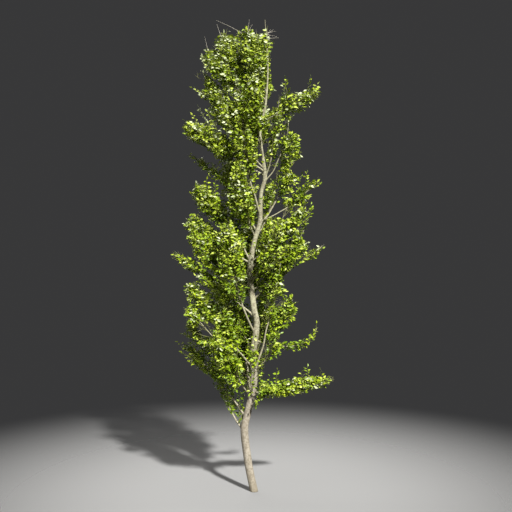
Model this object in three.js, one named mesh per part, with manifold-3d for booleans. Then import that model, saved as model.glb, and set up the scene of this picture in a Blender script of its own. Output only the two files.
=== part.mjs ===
// A young black poplar of the narrow, upright kind, rooted in level ground. Millimetres, +Z up, +X to
// the right and +Y to the back, with the origin in the middle of the flat cut at the trunk's foot.
//
// The trunk is one sinuous, tapering solid from the ground to the leader's tip. Limbs leave it all
// round. Each limb follows one curve: its bare part is a bough, and its far part is the stem of one
// foliage mass. A mass is that stem with twigs and sprays fused on, grown by a seeded rule inside its
// own spindle of space, clear of the wood and of the masses beside it. A spray's blade stands for a
// bunch of leaves, so it is larger than one leaf.
import * as THREE from 'three';
import { mergeVertices } from 'three/addons/utils/BufferGeometryUtils.js';
import Module from 'manifold-3d';

const wasm = await Module();
wasm.setup();

// Trunk
const HEIGHT = 9000;
const FOOT_WIDTH = 152; // the bole's diameter above the root flare
const LEADER_WIDTH = 7; // the leader's diameter at its tip
const TAPER_START = 1.6; // higher keeps the lower trunk stout for longer
const TAPER_END = 1.1;
const FLARE = 0.07; // share that the root flare adds to the width at the ground
const FLARE_HEIGHT = 130;
const TRUNK_SIDES = 12;
const TRUNK_STEPS = 30;
// Where the trunk's middle runs: height, then how far right and how far back it has swung.
const TRUNK_BENDS = [
  [0, 0, 0],
  [600, -118, -10],
  [1200, -180, -20],
  [1500, -118, -5],
  [2050, -5, 15],
  [2650, -12, 15],
  [3200, 52, -10],
  [3500, -4, -20],
  [4190, -75, 10],
  [4740, 2, 25],
  [5150, 112, 15],
  [5660, 134, -10],
  [6000, 210, -20],
  [6600, 136, 0],
  [6880, 122, 10],
  [7400, 225, 5],
  [8200, 266, -10],
  [HEIGHT, 212, 0],
];

// Limbs. leave: height at which the limb leaves the trunk. turn: its compass direction, in degrees
// from +X towards +Y. reach and top: how far from the foot's plumb line, and how high, its tip is.
// out and up: the shares of that way and of that rise that the bend of its curve has made.
// bare: the share of the curve with no foliage. spread: half the width of the foliage's space.
// bough: true where the bare part is a bough of its own, and not the foot of the mass's stem.
const LIMBS = [
  // name, leave, turn, reach, top, out, up, bare, spread, bough
  ['low_left', 1150, 156, 860, 2650, 0.9, 0.35, 0.25, 340, true],
  ['low_back_left', 1400, 152, 1500, 2840, 0.42, 0.55, 0.25, 260, true],
  ['low_small', 1490, 157, 420, 1900, 0.5, 0.5, 0.2, 260],
  ['low_right', 1740, -8, 1465, 2200, 0.55, 0.3, 0.06, 250],
  ['low_front_left', 1780, -134, 840, 2880, 0.6, 0.45, 0.28, 370, true],
  ['low_front', 1740, -87, 450, 3010, 0.9, 0.4, 0.22, 280],
  ['low_far_left', 1830, 150, 1700, 3280, 0.42, 0.5, 0.4, 290],
  ['low_back', 1890, 103, 1030, 3280, 0.6, 0.4, 0.3, 430],
  ['left_lower', 2020, -165, 1240, 3450, 0.45, 0.5, 0.28, 360, true],
  ['right_short', 2290, -40, 540, 3020, 0.7, 0.3, 0.3, 270],
  ['right_drooping', 2660, -5, 1200, 3110, 0.86, -0.43, 0.3, 210],
  ['right_long', 2260, -31, 590, 4380, 0.5, 0.3, 0.6, 300, true],
  ['left_middle', 2350, -175, 1235, 3810, 0.5, 0.4, 0.28, 430, true],
  ['right_lower', 2660, -3, 840, 3600, 0.6, 0.3, 0.15, 340],
  ['back_right_lower', 2790, 65, 1000, 3800, 0.6, 0.4, 0.3, 400],
  ['back_left_lower', 2690, 131, 1200, 4000, 0.55, 0.4, 0.3, 430],
  ['front_left_riser', 2980, -131, 725, 5000, 0.75, 0.35, 0.5, 430, true],
  ['left_tip', 3310, -172, 1520, 4510, 0.55, 0.4, 0.35, 290],
  ['right_shoulder', 3650, -9, 960, 4980, 0.55, 0.35, 0.14, 430],
  ['right_tip', 3840, 0, 1320, 4700, 0.6, 0.45, 0.22, 250],
  ['left_shoulder', 3840, -168, 1225, 4830, 0.55, 0.4, 0.3, 460, true],
  ['back_middle', 3650, 95, 1000, 4980, 0.6, 0.4, 0.3, 460],
  ['left_upper_shoulder', 4350, 174, 1330, 5330, 0.55, 0.45, 0.35, 380],
  ['front_right', 3940, -66, 930, 5100, 0.6, 0.4, 0.3, 400],
  ['right_inner', 4380, -19, 910, 5310, 0.6, 0.4, 0.3, 370],
  ['back_right_middle', 4220, 41, 905, 5510, 0.6, 0.4, 0.35, 370],
  ['left_feather', 4380, 175, 1215, 5840, 0.55, 0.4, 0.4, 340],
  ['front_left_middle', 4830, -120, 515, 6210, 0.75, 0.35, 0.45, 370],
  ['back_left_middle', 4950, 125, 915, 6270, 0.55, 0.4, 0.3, 400],
  ['right_arm', 5240, -4, 1280, 5860, 0.55, 0.4, 0.12, 240],
  ['right_inner_upper', 4850, 12, 470, 6150, 0.8, 0.35, 0.3, 290],
  ['right_plume', 5080, 7, 835, 6860, 0.8, 0.35, 0.4, 300, true],
  ['left_thin', 5270, 169, 1270, 6400, 0.5, 0.4, 0.25, 200],
  ['centre_riser', 5290, -121, 465, 7380, 0.8, 0.35, 0.5, 370, true],
  ['left_wing', 5980, -174, 1290, 7020, 0.55, 0.4, 0.25, 400],
  ['left_wing_low', 5750, 169, 1270, 6710, 0.55, 0.4, 0.35, 300],
  ['right_inner_riser', 5950, -20, 500, 7420, 0.75, 0.35, 0.25, 290],
  ['right_riser', 5900, -17, 690, 7070, 0.85, 0.35, 0.5, 300, true],
  ['left_inner_wing', 6150, -160, 690, 7480, 0.65, 0.4, 0.25, 330],
  ['back_upper', 6520, 98, 605, 7880, 0.6, 0.4, 0.25, 400],
  ['front_upper', 6350, -92, 600, 7750, 0.65, 0.4, 0.25, 350],
  ['left_upper', 6670, 177, 960, 7900, 0.55, 0.4, 0.3, 400],
  ['top_left', 7240, -174, 895, 8320, 0.55, 0.45, 0.25, 370],
  ['right_spray', 7190, -5, 1240, 7720, 0.5, 0.45, 0.1, 280],
  ['top_middle_left', 7470, 160, 575, 8790, 0.65, 0.4, 0.2, 400],
  ['top_back', 7350, 80, 400, 8560, 0.65, 0.4, 0.2, 330],
  ['top_front', 7620, -124, 300, 8760, 0.65, 0.35, 0.15, 370],
  ['top_leader', 7950, -4, 345, 8800, 0.75, 0.35, 0.15, 250],
].map(([name, leave, turn, reach, top, out, up, bare, spread, bough = false]) => ({
  name, leave, turn, reach, top, out, up, bare, spread, bough,
}));
const LIMB_WIDTH_SHARE = 0.02; // a limb's width at its foot, as a share of its length
const LIMB_WIDTH_LEAST = 22;
const LIMB_TRUNK_SHARE = 0.6; // and at most this share of the trunk's width there
const LIMB_TIP_WIDTH = 21;
const LIMB_TAPER = 0.9; // below 1 keeps a limb stout for longer
const BOUGH_SIDES = 6;
const BOUGH_STEPS = 5;
const STEM_SIDES = 3;
const STEM_STEPS = 4;
const WHOLE_STEM_STEPS = 6; // where a stem starts at the trunk

// Foliage
const GAP = 0.3; // between a limb and the trunk, and between a bough and its stem
const CLEARANCE = 2; // between a spray or twig and all else that it doesn't grow on
const TWIG_SPACING = 128000; // square millimetres of the space's side view for each twig,
const SPACE_MARGIN = 250; // with this much added to its half width
const SPACE_ENDS = 0.42; // a space's half width at its ends, as a share of its spread,
const SPACE_SWELL = 0.58; // and how much wider it is where it is fullest
const SPACE_SKEW = 0.8; // below 1 moves its fullest place towards the stem's foot
const SPACE_SAMPLES = 24;
const TRIES_EACH = 4; // tries at a twig before it may carry one spray fewer
const TWIG_WIDTH = 12; // at its foot
const TWIG_SIDES = 3;
const TWIG_LEAN = 26; // degrees between a twig and its stem
const TWIG_SHARE = 0.45; // a twig's length, as a share of the space's half width there,
const TWIG_LENGTHS = [0.8, 1.2]; // times a draw between these
const TWIG_START = 0.03; // where the twigs' stretch of the leafy part starts, and how long it is,
const TWIG_STRETCH = 0.95; // both as shares of the leafy part
const TWIG_DRIFT = [0.1, 0.9]; // where a twig stands in its own share of the stretch
const TWIG_TURN = 0.5; // radians that a twig may turn either way from the middle of a flank
const SPRAY_LENGTH = 450;
const SPRAY_WIDTH = 0.66; // shares of a spray's length
const SPRAY_THICKNESS = 0.03;
const SPRAY_BROADEST = 0.55; // how far along its length a spray is broadest
const SPRAY_SIZES = [1, 0.82, 0.66, 0.52, 0.4]; // tried in turn until one keeps clear
const SPRAY_SINK = 0.75; // how far past its twig's middle it is rooted, as a share of the twig's radius
const SPRAY_PLACES = [0.78, 0.55, 0.34]; // where a twig carries its sprays, as shares of its length
const SPRAY_LEANS = [42, 34]; // degrees between a twig and a spray
const SPRAY_TWIST = 0.3; // radians that a spray's face may turn either way
const SMALLEST_EDGE = 0.6; // edges under this are closed up where parts are fused
const MERGE_WITHIN = 1e-4; // vertices nearer than this are one
const FIRST_SEED = 11;

const BARK = new THREE.MeshStandardMaterial({ color: 0xb8ad94, roughness: 0.85, metalness: 0 });
const FOLIAGE = new THREE.MeshStandardMaterial({ color: 0x869a3a, roughness: 0.55, metalness: 0 });

// A repeatable stream of draws between 0 and 1.
class Draws {
  static SPREAD = 7919; // sets seeds apart
  static FACTOR = 48271;
  static MODULUS = 2 ** 31 - 1;

  constructor(seed) {
    this.state = seed * Draws.SPREAD + 1;
    for (let i = 0; i < 3; i++) this.next();
  }

  next() {
    this.state = (this.state * Draws.FACTOR) % Draws.MODULUS;
    return this.state / Draws.MODULUS;
  }

  between(low, high) {
    return low + (high - low) * this.next();
  }
}

// The trunk's middle at a height, on a smooth line through its bends.
function trunkMiddle(height) {
  let above = 1;
  while (above < TRUNK_BENDS.length - 1 && TRUNK_BENDS[above][0] < height) above++;
  const [before, from, to, after] = [above - 2, above - 1, above, above + 1].map(
    (i) => TRUNK_BENDS[THREE.MathUtils.clamp(i, 0, TRUNK_BENDS.length - 1)],
  );
  const span = to[0] - from[0];
  const t = (height - from[0]) / span;
  const swing = (side) => {
    const startSlope = ((to[side] - before[side]) / (to[0] - before[0])) * span;
    const endSlope = ((after[side] - from[side]) / (after[0] - from[0])) * span;
    return (
      from[side] * (2 * t ** 3 - 3 * t ** 2 + 1) +
      startSlope * (t ** 3 - 2 * t ** 2 + t) +
      to[side] * (3 * t ** 2 - 2 * t ** 3) +
      endSlope * (t ** 3 - t ** 2)
    );
  };
  return new THREE.Vector3(swing(1), swing(2), height);
}

function trunkWidth(height) {
  const left = Math.max(0, 1 - (height / HEIGHT) ** TAPER_START);
  const flare = 1 + FLARE * Math.exp(-height / FLARE_HEIGHT);
  return (LEADER_WIDTH + (FOOT_WIDTH - LEADER_WIDTH) * left ** TAPER_END) * flare;
}

// A closed geometry as a manifold-3d solid.
function solidOf(geometry) {
  const bare = new THREE.BufferGeometry().setAttribute('position', geometry.getAttribute('position'));
  bare.setIndex(geometry.index);
  const merged = mergeVertices(bare, MERGE_WITHIN);
  return new wasm.Manifold(
    new wasm.Mesh({
      numProp: 3,
      vertProperties: merged.attributes.position.array,
      triVerts: new Uint32Array(merged.index.array),
    }),
  );
}

// A manifold-3d solid as a geometry.
function geometryOf(solid) {
  const { numProp, vertProperties, triVerts } = solid.getMesh();
  const positions = new THREE.InterleavedBuffer(vertProperties, numProp);
  const geometry = new THREE.BufferGeometry();
  geometry.setAttribute('position', new THREE.InterleavedBufferAttribute(positions, 3, 0));
  geometry.setIndex(new THREE.BufferAttribute(triVerts, 1));
  const flat = geometry.toNonIndexed();
  flat.computeVertexNormals();
  return flat;
}

// A cylinder bent and tapered: place(t, across, along) says where a point of it goes.
function bentCylinder(sides, steps, place, pointed = false) {
  const geometry = new THREE.CylinderGeometry(pointed ? 0 : 1, 1, 1, sides, steps);
  const position = geometry.getAttribute('position');
  const point = new THREE.Vector3();
  for (let i = 0; i < position.count; i++) {
    point.fromBufferAttribute(position, i);
    const t = THREE.MathUtils.clamp(point.y + 0.5, 0, 1);
    const moved = place(t, point.z, point.x);
    position.setXYZ(i, moved.x, moved.y, moved.z);
  }
  return solidOf(geometry);
}

// The trunk, with level rings, so its foot is flat. extra widens it all round.
function trunkSolid(extra = 0) {
  return bentCylinder(TRUNK_SIDES, TRUNK_STEPS, (t, east, north) => {
    const height = t * HEIGHT;
    const radius = trunkWidth(height) / 2 + extra;
    return trunkMiddle(height).add(new THREE.Vector3(east * radius, north * radius, 0));
  });
}

// The two directions that span the rings of a limb at a point where it runs along.
function ringBasis(along) {
  const side = new THREE.Vector3(-along.y, along.x, 0);
  if (side.lengthSq() < 1e-6) side.set(1, 0, 0);
  side.normalize();
  return [side, new THREE.Vector3().crossVectors(along, side)];
}

// A round limb along a stretch of a curve, its rings square to it.
function limbSolid(curve, from, to, widthAt, sides, steps, pointed = false) {
  const place = (t, a, b) => {
    const u = from + (to - from) * t;
    const [side, over] = ringBasis(curve.getTangent(u));
    const radius = widthAt(u) / 2;
    return curve.getPoint(u).addScaledVector(side, a * radius).addScaledVector(over, b * radius);
  };
  return bentCylinder(sides, steps, place, pointed);
}

// The curve of a limb, from the trunk's middle to the limb's tip.
function limbCurve(limb) {
  const start = trunkMiddle(limb.leave);
  const turn = THREE.MathUtils.degToRad(limb.turn);
  const tip = new THREE.Vector3(limb.reach * Math.cos(turn), limb.reach * Math.sin(turn), limb.top);
  const bend = new THREE.Vector3(
    start.x + (tip.x - start.x) * limb.out,
    start.y + (tip.y - start.y) * limb.out,
    start.z + (tip.z - start.z) * limb.up,
  );
  return new THREE.QuadraticBezierCurve3(start, bend, tip);
}

function limbWidthAt(limb, length) {
  const foot = Math.min(
    Math.max(LIMB_WIDTH_LEAST, length * LIMB_WIDTH_SHARE),
    trunkWidth(limb.leave) * LIMB_TRUNK_SHARE,
  );
  return (u) => LIMB_TIP_WIDTH + (foot - LIMB_TIP_WIDTH) * (1 - u) ** LIMB_TAPER;
}

// How full a mass's space is at a share of the way along its stem.
function fullness(share) {
  return SPACE_ENDS + SPACE_SWELL * Math.sin(Math.PI * THREE.MathUtils.clamp(share, 0, 1) ** SPACE_SKEW);
}

// The space of one mass: a spindle round its stem.
class Space {
  constructor(curve, from, spread) {
    this.spread = spread;
    this.points = Array.from({ length: SPACE_SAMPLES + 1 }, (_, i) =>
      curve.getPoint(from + ((1 - from) * i) / SPACE_SAMPLES),
    );
  }

  halfWidth(share) {
    return this.spread * fullness(share);
  }

  // A point's distance from the stem, as a share of the space's half width there.
  depthOf(point) {
    let nearest = 0;
    let least = Infinity;
    this.points.forEach((p, i) => {
      const d = p.distanceToSquared(point);
      if (d < least) {
        least = d;
        nearest = i;
      }
    });
    return Math.sqrt(least) / this.halfWidth(nearest / SPACE_SAMPLES);
  }
}

// A spray's blade, one unit long, from its root at the origin along +Z: a kite, flat below and with a
// keel along its upper side, which faces +Y.
function sprayBlank() {
  const [root, tip, left, right, keel] = [0, 1, 2, 3, 4];
  const corners = [0, 0, -1, 0, 0, 1, -1, 0, 0, 1, 0, 0, 0, 1, 0];
  const under = [root, right, left, tip, left, right];
  const upper = [root, left, keel, root, keel, right, tip, keel, left, tip, right, keel];
  const geometry = new THREE.PolyhedronGeometry(corners, [...under, ...upper], 1);
  const position = geometry.getAttribute('position');
  for (let i = 0; i < position.count; i++) {
    const z = position.getZ(i);
    const lengthwise = Math.abs(z) < 0.5 ? SPRAY_BROADEST : (z + 1) / 2;
    position.setXYZ(i, (position.getX(i) * SPRAY_WIDTH) / 2, position.getY(i) * SPRAY_THICKNESS, lengthwise);
  }
  return solidOf(geometry);
}
const SPRAY = sprayBlank();

// The turn that carries +Z to a direction and +Y as near as can be to a face.
function aim(direction, face) {
  const across = new THREE.Vector3().crossVectors(face, direction).normalize();
  const facing = new THREE.Vector3().crossVectors(direction, across);
  return new THREE.Matrix4().makeBasis(across, facing, direction);
}

// One spray, from its root.
function spraySolid(root, direction, face, length) {
  const matrix = aim(direction, face).scale(new THREE.Vector3(length, length, length)).setPosition(root);
  return SPRAY.transform(matrix.elements);
}

// A straight, pointed, three-sided twig.
function twigSolid(from, to) {
  return limbSolid(new THREE.LineCurve3(from, to), 0, 1, () => TWIG_WIDTH, TWIG_SIDES, 1, true);
}

function boxesNear(a, b, margin) {
  return [0, 1, 2].every((k) => a.min[k] < b.max[k] + margin && b.min[k] < a.max[k] + margin);
}

function keepsClear(solid, others) {
  const box = solid.boundingBox();
  return others.every(
    (other) => !boxesNear(box, other.boundingBox(), CLEARANCE) || solid.minGap(other, CLEARANCE) >= CLEARANCE,
  );
}

function cornersOf(solid) {
  const { numProp, vertProperties } = solid.getMesh();
  const corners = [];
  for (let i = 0; i < vertProperties.length; i += numProp) {
    corners.push(new THREE.Vector3(vertProperties[i], vertProperties[i + 1], vertProperties[i + 2]));
  }
  return corners;
}

// True where every corner of a solid is in a mass's own space, and in no other's more deeply.
function keepsToSpace(solid, limb, limbs) {
  return cornersOf(solid).every((corner) => {
    const own = limb.space.depthOf(corner);
    return own < 1 && limbs.every((other) => other === limb || other.space.depthOf(corner) > own);
  });
}

// The largest piece of a solid, without loose scraps.
function largestOf(solid) {
  return solid.decompose().reduce((best, piece) => (piece.volume() > best.volume() ? piece : best));
}

// The sprays of one twig, one on each of its flanks in turn, the topmost nearest its tip.
function growSprays(limb, limbs, from, to, draws, others) {
  const grown = [];
  const along = to.clone().sub(from).normalize();
  const [side, over] = ringBasis(along);
  SPRAY_PLACES.forEach((place, i) => {
    const flank = (Math.PI / TWIG_SIDES) * (2 * i + 1);
    const outward = side.clone().multiplyScalar(Math.cos(flank)).addScaledVector(over, Math.sin(flank));
    const flat = new THREE.Vector3().crossVectors(along, outward);
    const twist = draws.between(-SPRAY_TWIST, SPRAY_TWIST);
    const sink = (SPRAY_SINK * TWIG_WIDTH * (1 - place)) / 2;
    const root = from.clone().lerp(to, place).addScaledVector(outward, -sink);
    for (const size of SPRAY_SIZES) {
      for (const degrees of SPRAY_LEANS) {
        const lean = THREE.MathUtils.degToRad(degrees);
        const direction = along.clone().multiplyScalar(Math.cos(lean));
        direction.addScaledVector(outward, Math.sin(lean));
        const face = flat.clone().applyAxisAngle(direction, twist);
        const spray = spraySolid(root, direction, face, SPRAY_LENGTH * size);
        if (keepsToSpace(spray, limb, limbs) && keepsClear(spray, [...others, ...grown])) {
          grown.push(spray);
          return;
        }
      }
    }
  });
  return grown;
}

// A limb's stem, which carries its foliage: what is left of it past its bough, or the whole of it.
function stemSolid(limb, trunkSleeve) {
  if (limb.bough) {
    const foot = limb.bare + GAP / limb.length;
    return limbSolid(limb.curve, foot, 1, limb.widthAt, STEM_SIDES, STEM_STEPS);
  }
  const whole = limbSolid(limb.curve, 0, 1, limb.widthAt, STEM_SIDES, WHOLE_STEM_STEPS);
  return largestOf(whole.subtract(trunkSleeve));
}

// A twig that leaves its stem at a share of the leafy part, turned round it by roll.
function twigLine(limb, share, roll, lengthShare) {
  const u = limb.bare + (1 - limb.bare) * share;
  const along = limb.curve.getTangent(u);
  const [side, over] = ringBasis(along);
  const lean = THREE.MathUtils.degToRad(TWIG_LEAN);
  const direction = along.clone().multiplyScalar(Math.cos(lean));
  direction.addScaledVector(side, Math.sin(lean) * Math.cos(roll));
  direction.addScaledVector(over, Math.sin(lean) * Math.sin(roll));
  const root = limb.curve.getPoint(u);
  return [root, root.clone().addScaledVector(direction, limb.space.halfWidth(share) * lengthShare)];
}

// One mass: its stem, the twigs round it, and their sprays, clear of all that is in wood.
function growMass(limb, limbs, wood) {
  const draws = new Draws(limb.seed);
  const leafyLength = limb.length * (1 - limb.bare);
  const count = Math.round((leafyLength * (limb.spread + SPACE_MARGIN)) / TWIG_SPACING);
  const parts = [];
  for (let i = 0; i < count; i++) {
    for (let tried = 0; tried < TRIES_EACH * SPRAY_PLACES.length; tried++) {
      const share = TWIG_START + (TWIG_STRETCH * (i + draws.between(...TWIG_DRIFT))) / count;
      const flank = Math.floor(draws.between(0, STEM_SIDES));
      const roll = (Math.PI / STEM_SIDES) * (2 * flank + 1) + draws.between(-TWIG_TURN, TWIG_TURN);
      const [root, end] = twigLine(limb, share, roll, TWIG_SHARE * draws.between(...TWIG_LENGTHS));
      const twig = twigSolid(root, end);
      if (!keepsToSpace(twig, limb, limbs) || !keepsClear(twig, [...wood, ...parts])) continue;
      const sprays = growSprays(limb, limbs, root, end, draws, [...wood, ...parts, limb.stem]);
      if (sprays.length < SPRAY_PLACES.length - Math.floor(tried / TRIES_EACH)) continue;
      parts.push(twig, ...sprays);
      break;
    }
  }
  return largestOf(wasm.Manifold.union([limb.stem, ...parts]).simplify(SMALLEST_EDGE));
}

function node(name, solid, material) {
  const mesh = new THREE.Mesh(geometryOf(solid), material);
  mesh.name = name;
  return mesh;
}

function buildTree() {
  const tree = new THREE.Group();
  const trunk = trunkSolid();
  const trunkSleeve = trunkSolid(GAP);
  tree.add(node('trunk', trunk, BARK));
  const limbs = LIMBS.map((row, i) => {
    const curve = limbCurve(row);
    const length = curve.getLength();
    const space = new Space(curve, row.bare, row.spread);
    const limb = { ...row, curve, length, space, seed: FIRST_SEED + i, widthAt: limbWidthAt(row, length) };
    return { ...limb, stem: stemSolid(limb, trunkSleeve) };
  });
  const boughs = limbs.filter((limb) => limb.bough).map((limb) => {
    const whole = limbSolid(limb.curve, 0, limb.bare, limb.widthAt, BOUGH_SIDES, BOUGH_STEPS);
    const bough = largestOf(whole.subtract(trunkSleeve));
    tree.add(node(`bough_${limb.name}`, bough, BARK));
    return bough;
  });
  const masses = [];
  for (const limb of limbs) {
    const stems = limbs.filter((other) => other !== limb).map((other) => other.stem);
    const mass = growMass(limb, limbs, [trunk, ...boughs, ...stems, ...masses]);
    masses.push(mass);
    tree.add(node(`foliage_${limb.name}`, mass, FOLIAGE));
  }
  return tree;
}

export default buildTree();
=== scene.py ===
"""The looks of a young black poplar, rooted in the ground: bark, boughs, twigs and leaves.

Metres, +Z up, +X to the right and +Y to the back, with the origin in the middle of the trunk's foot. The
trunk and 25 of the 48 limbs run where the solids' do, and the other limbs up to 0.4 m from there. Each
mass of foliage is grown again by the solids' rule inside its own spindle of space, with finer twigs, with
shoots on them and with leaves along the shoots.
"""

import logging
import math
from dataclasses import dataclass, field
from enum import Enum
from typing import ClassVar, Iterable, Iterator, Self, Sequence

import bpy
import numpy as np
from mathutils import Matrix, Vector, noise


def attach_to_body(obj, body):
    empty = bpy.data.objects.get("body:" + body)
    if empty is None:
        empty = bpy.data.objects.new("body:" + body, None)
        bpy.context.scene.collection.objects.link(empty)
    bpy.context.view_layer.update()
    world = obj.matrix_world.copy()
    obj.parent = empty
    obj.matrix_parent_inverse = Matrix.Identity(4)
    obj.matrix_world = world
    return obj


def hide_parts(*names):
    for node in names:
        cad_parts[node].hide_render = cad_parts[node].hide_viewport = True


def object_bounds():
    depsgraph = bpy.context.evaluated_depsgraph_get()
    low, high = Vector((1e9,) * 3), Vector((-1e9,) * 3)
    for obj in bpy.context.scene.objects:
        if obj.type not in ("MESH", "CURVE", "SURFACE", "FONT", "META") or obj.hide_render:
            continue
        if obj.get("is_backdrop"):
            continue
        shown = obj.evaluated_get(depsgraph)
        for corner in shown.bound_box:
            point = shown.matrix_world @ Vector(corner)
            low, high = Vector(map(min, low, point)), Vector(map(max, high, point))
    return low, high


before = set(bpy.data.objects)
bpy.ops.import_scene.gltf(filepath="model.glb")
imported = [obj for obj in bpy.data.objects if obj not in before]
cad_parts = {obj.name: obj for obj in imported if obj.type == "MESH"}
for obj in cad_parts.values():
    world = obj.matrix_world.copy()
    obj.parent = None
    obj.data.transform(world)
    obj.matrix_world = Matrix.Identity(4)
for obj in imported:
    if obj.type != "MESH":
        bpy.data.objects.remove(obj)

LOG = logging.getLogger("poplar")
BODY = "root"
Colour = tuple[float, float, float]
GOLDEN_TURN = math.radians(137.5)


# ---------------------------------------------------------------------------------------------
# Sizes: the trunk's line and the limbs
# ---------------------------------------------------------------------------------------------


@dataclass(frozen=True)
class TrunkLine:
    """The line and the widths of the trunk, from the ground to the leader's tip."""

    height: float = 9.0
    foot_width: float = 0.152
    leader_width: float = 0.007
    taper_start: float = 1.6  # above 1, it keeps its width for longer
    taper_end: float = 1.1  # above 1, its tip is more slender
    flare: float = 0.07
    flare_height: float = 0.13
    # height, then how far right and how far back the middle has swung
    bends: tuple[tuple[float, float, float], ...] = (
        (0, 0, 0), (0.6, -0.118, -0.01), (1.2, -0.18, -0.02), (1.5, -0.118, -0.005),
        (2.05, -0.005, 0.015), (2.65, -0.012, 0.015), (3.2, 0.052, -0.01), (3.5, -0.004, -0.02),
        (4.19, -0.075, 0.01), (4.74, 0.002, 0.025), (5.15, 0.112, 0.015), (5.66, 0.134, -0.01),
        (6.0, 0.21, -0.02), (6.6, 0.136, 0), (6.88, 0.122, 0.01), (7.4, 0.225, 0.005),
        (8.2, 0.266, -0.01), (9.0, 0.212, 0),
    )

    def middle(self, height: float) -> Vector:
        """The trunk's middle at a height, on a smooth line through its bends.

        Args:
            height: Metres above the ground.

        Returns:
            The point on the line.
        """
        bends = self.bends
        above = 1
        while above < len(bends) - 1 and bends[above][0] < height:
            above += 1
        rows = [bends[min(max(i, 0), len(bends) - 1)] for i in range(above - 2, above + 2)]
        before, start, end, after = rows
        span = end[0] - start[0]
        t = (height - start[0]) / span
        swings = []
        for side in (1, 2):
            start_slope = (end[side] - before[side]) / (end[0] - before[0]) * span
            end_slope = (after[side] - start[side]) / (after[0] - start[0]) * span
            swings.append(
                start[side] * (2 * t**3 - 3 * t**2 + 1)
                + start_slope * (t**3 - 2 * t**2 + t)
                + end[side] * (3 * t**2 - 2 * t**3)
                + end_slope * (t**3 - t**2)
            )
        return Vector((swings[0], swings[1], height))

    def width(self, height: float) -> float:
        """The trunk's diameter at a height, without its bark relief.

        Args:
            height: Metres above the ground.

        Returns:
            The diameter.
        """
        left = max(0.0, 1 - (height / self.height) ** self.taper_start)
        flare = 1 + self.flare * math.exp(-height / self.flare_height)
        return (self.leader_width + (self.foot_width - self.leader_width) * left**self.taper_end) * flare


@dataclass(frozen=True)
class Limb:
    """One limb: its bare part is a bough or a stem's foot, and its far part carries foliage.

    leave is the height at which it leaves the trunk, and turn its compass direction in degrees from
    +X towards +Y. reach and top say how far out and how high its tip is. out and up are the shares of
    that way and that rise that the bend of its curve has made. bare is the share of the curve with no
    foliage, and spread is half the width of the foliage's space. bough is true where the bare part is
    a bough of its own. fill thins the foliage out or thickens it, and slim shortens its twigs. No leaf
    hides the limb as far as shown, a share of its curve. The last field shifts its leaves' tints to the
    lighter ones, or below 0 to the darker ones: painted light above 0, and painted shade below it.
    """

    name: str
    leave: float
    turn: float
    reach: float
    top: float
    out: float
    up: float
    bare: float
    spread: float
    bough: bool = False
    fill: float = 1.0
    slim: float = 1.0
    shown: float = 0.0
    youth: float = 0.0

    # the share of the bare part that is past before the first twig, on a bough and on a stem
    twigless: ClassVar[tuple[float, float]] = (0.8, 0.35)

    @property
    def leafy_from(self) -> float:
        """The share of the curve where the first twigs stand, short of where the solids' do."""
        return self.bare * self.twigless[0 if self.bough else 1]


# a limb's tint shift, at the end of some rows, is painted light above 0 and painted shade below it
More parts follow.
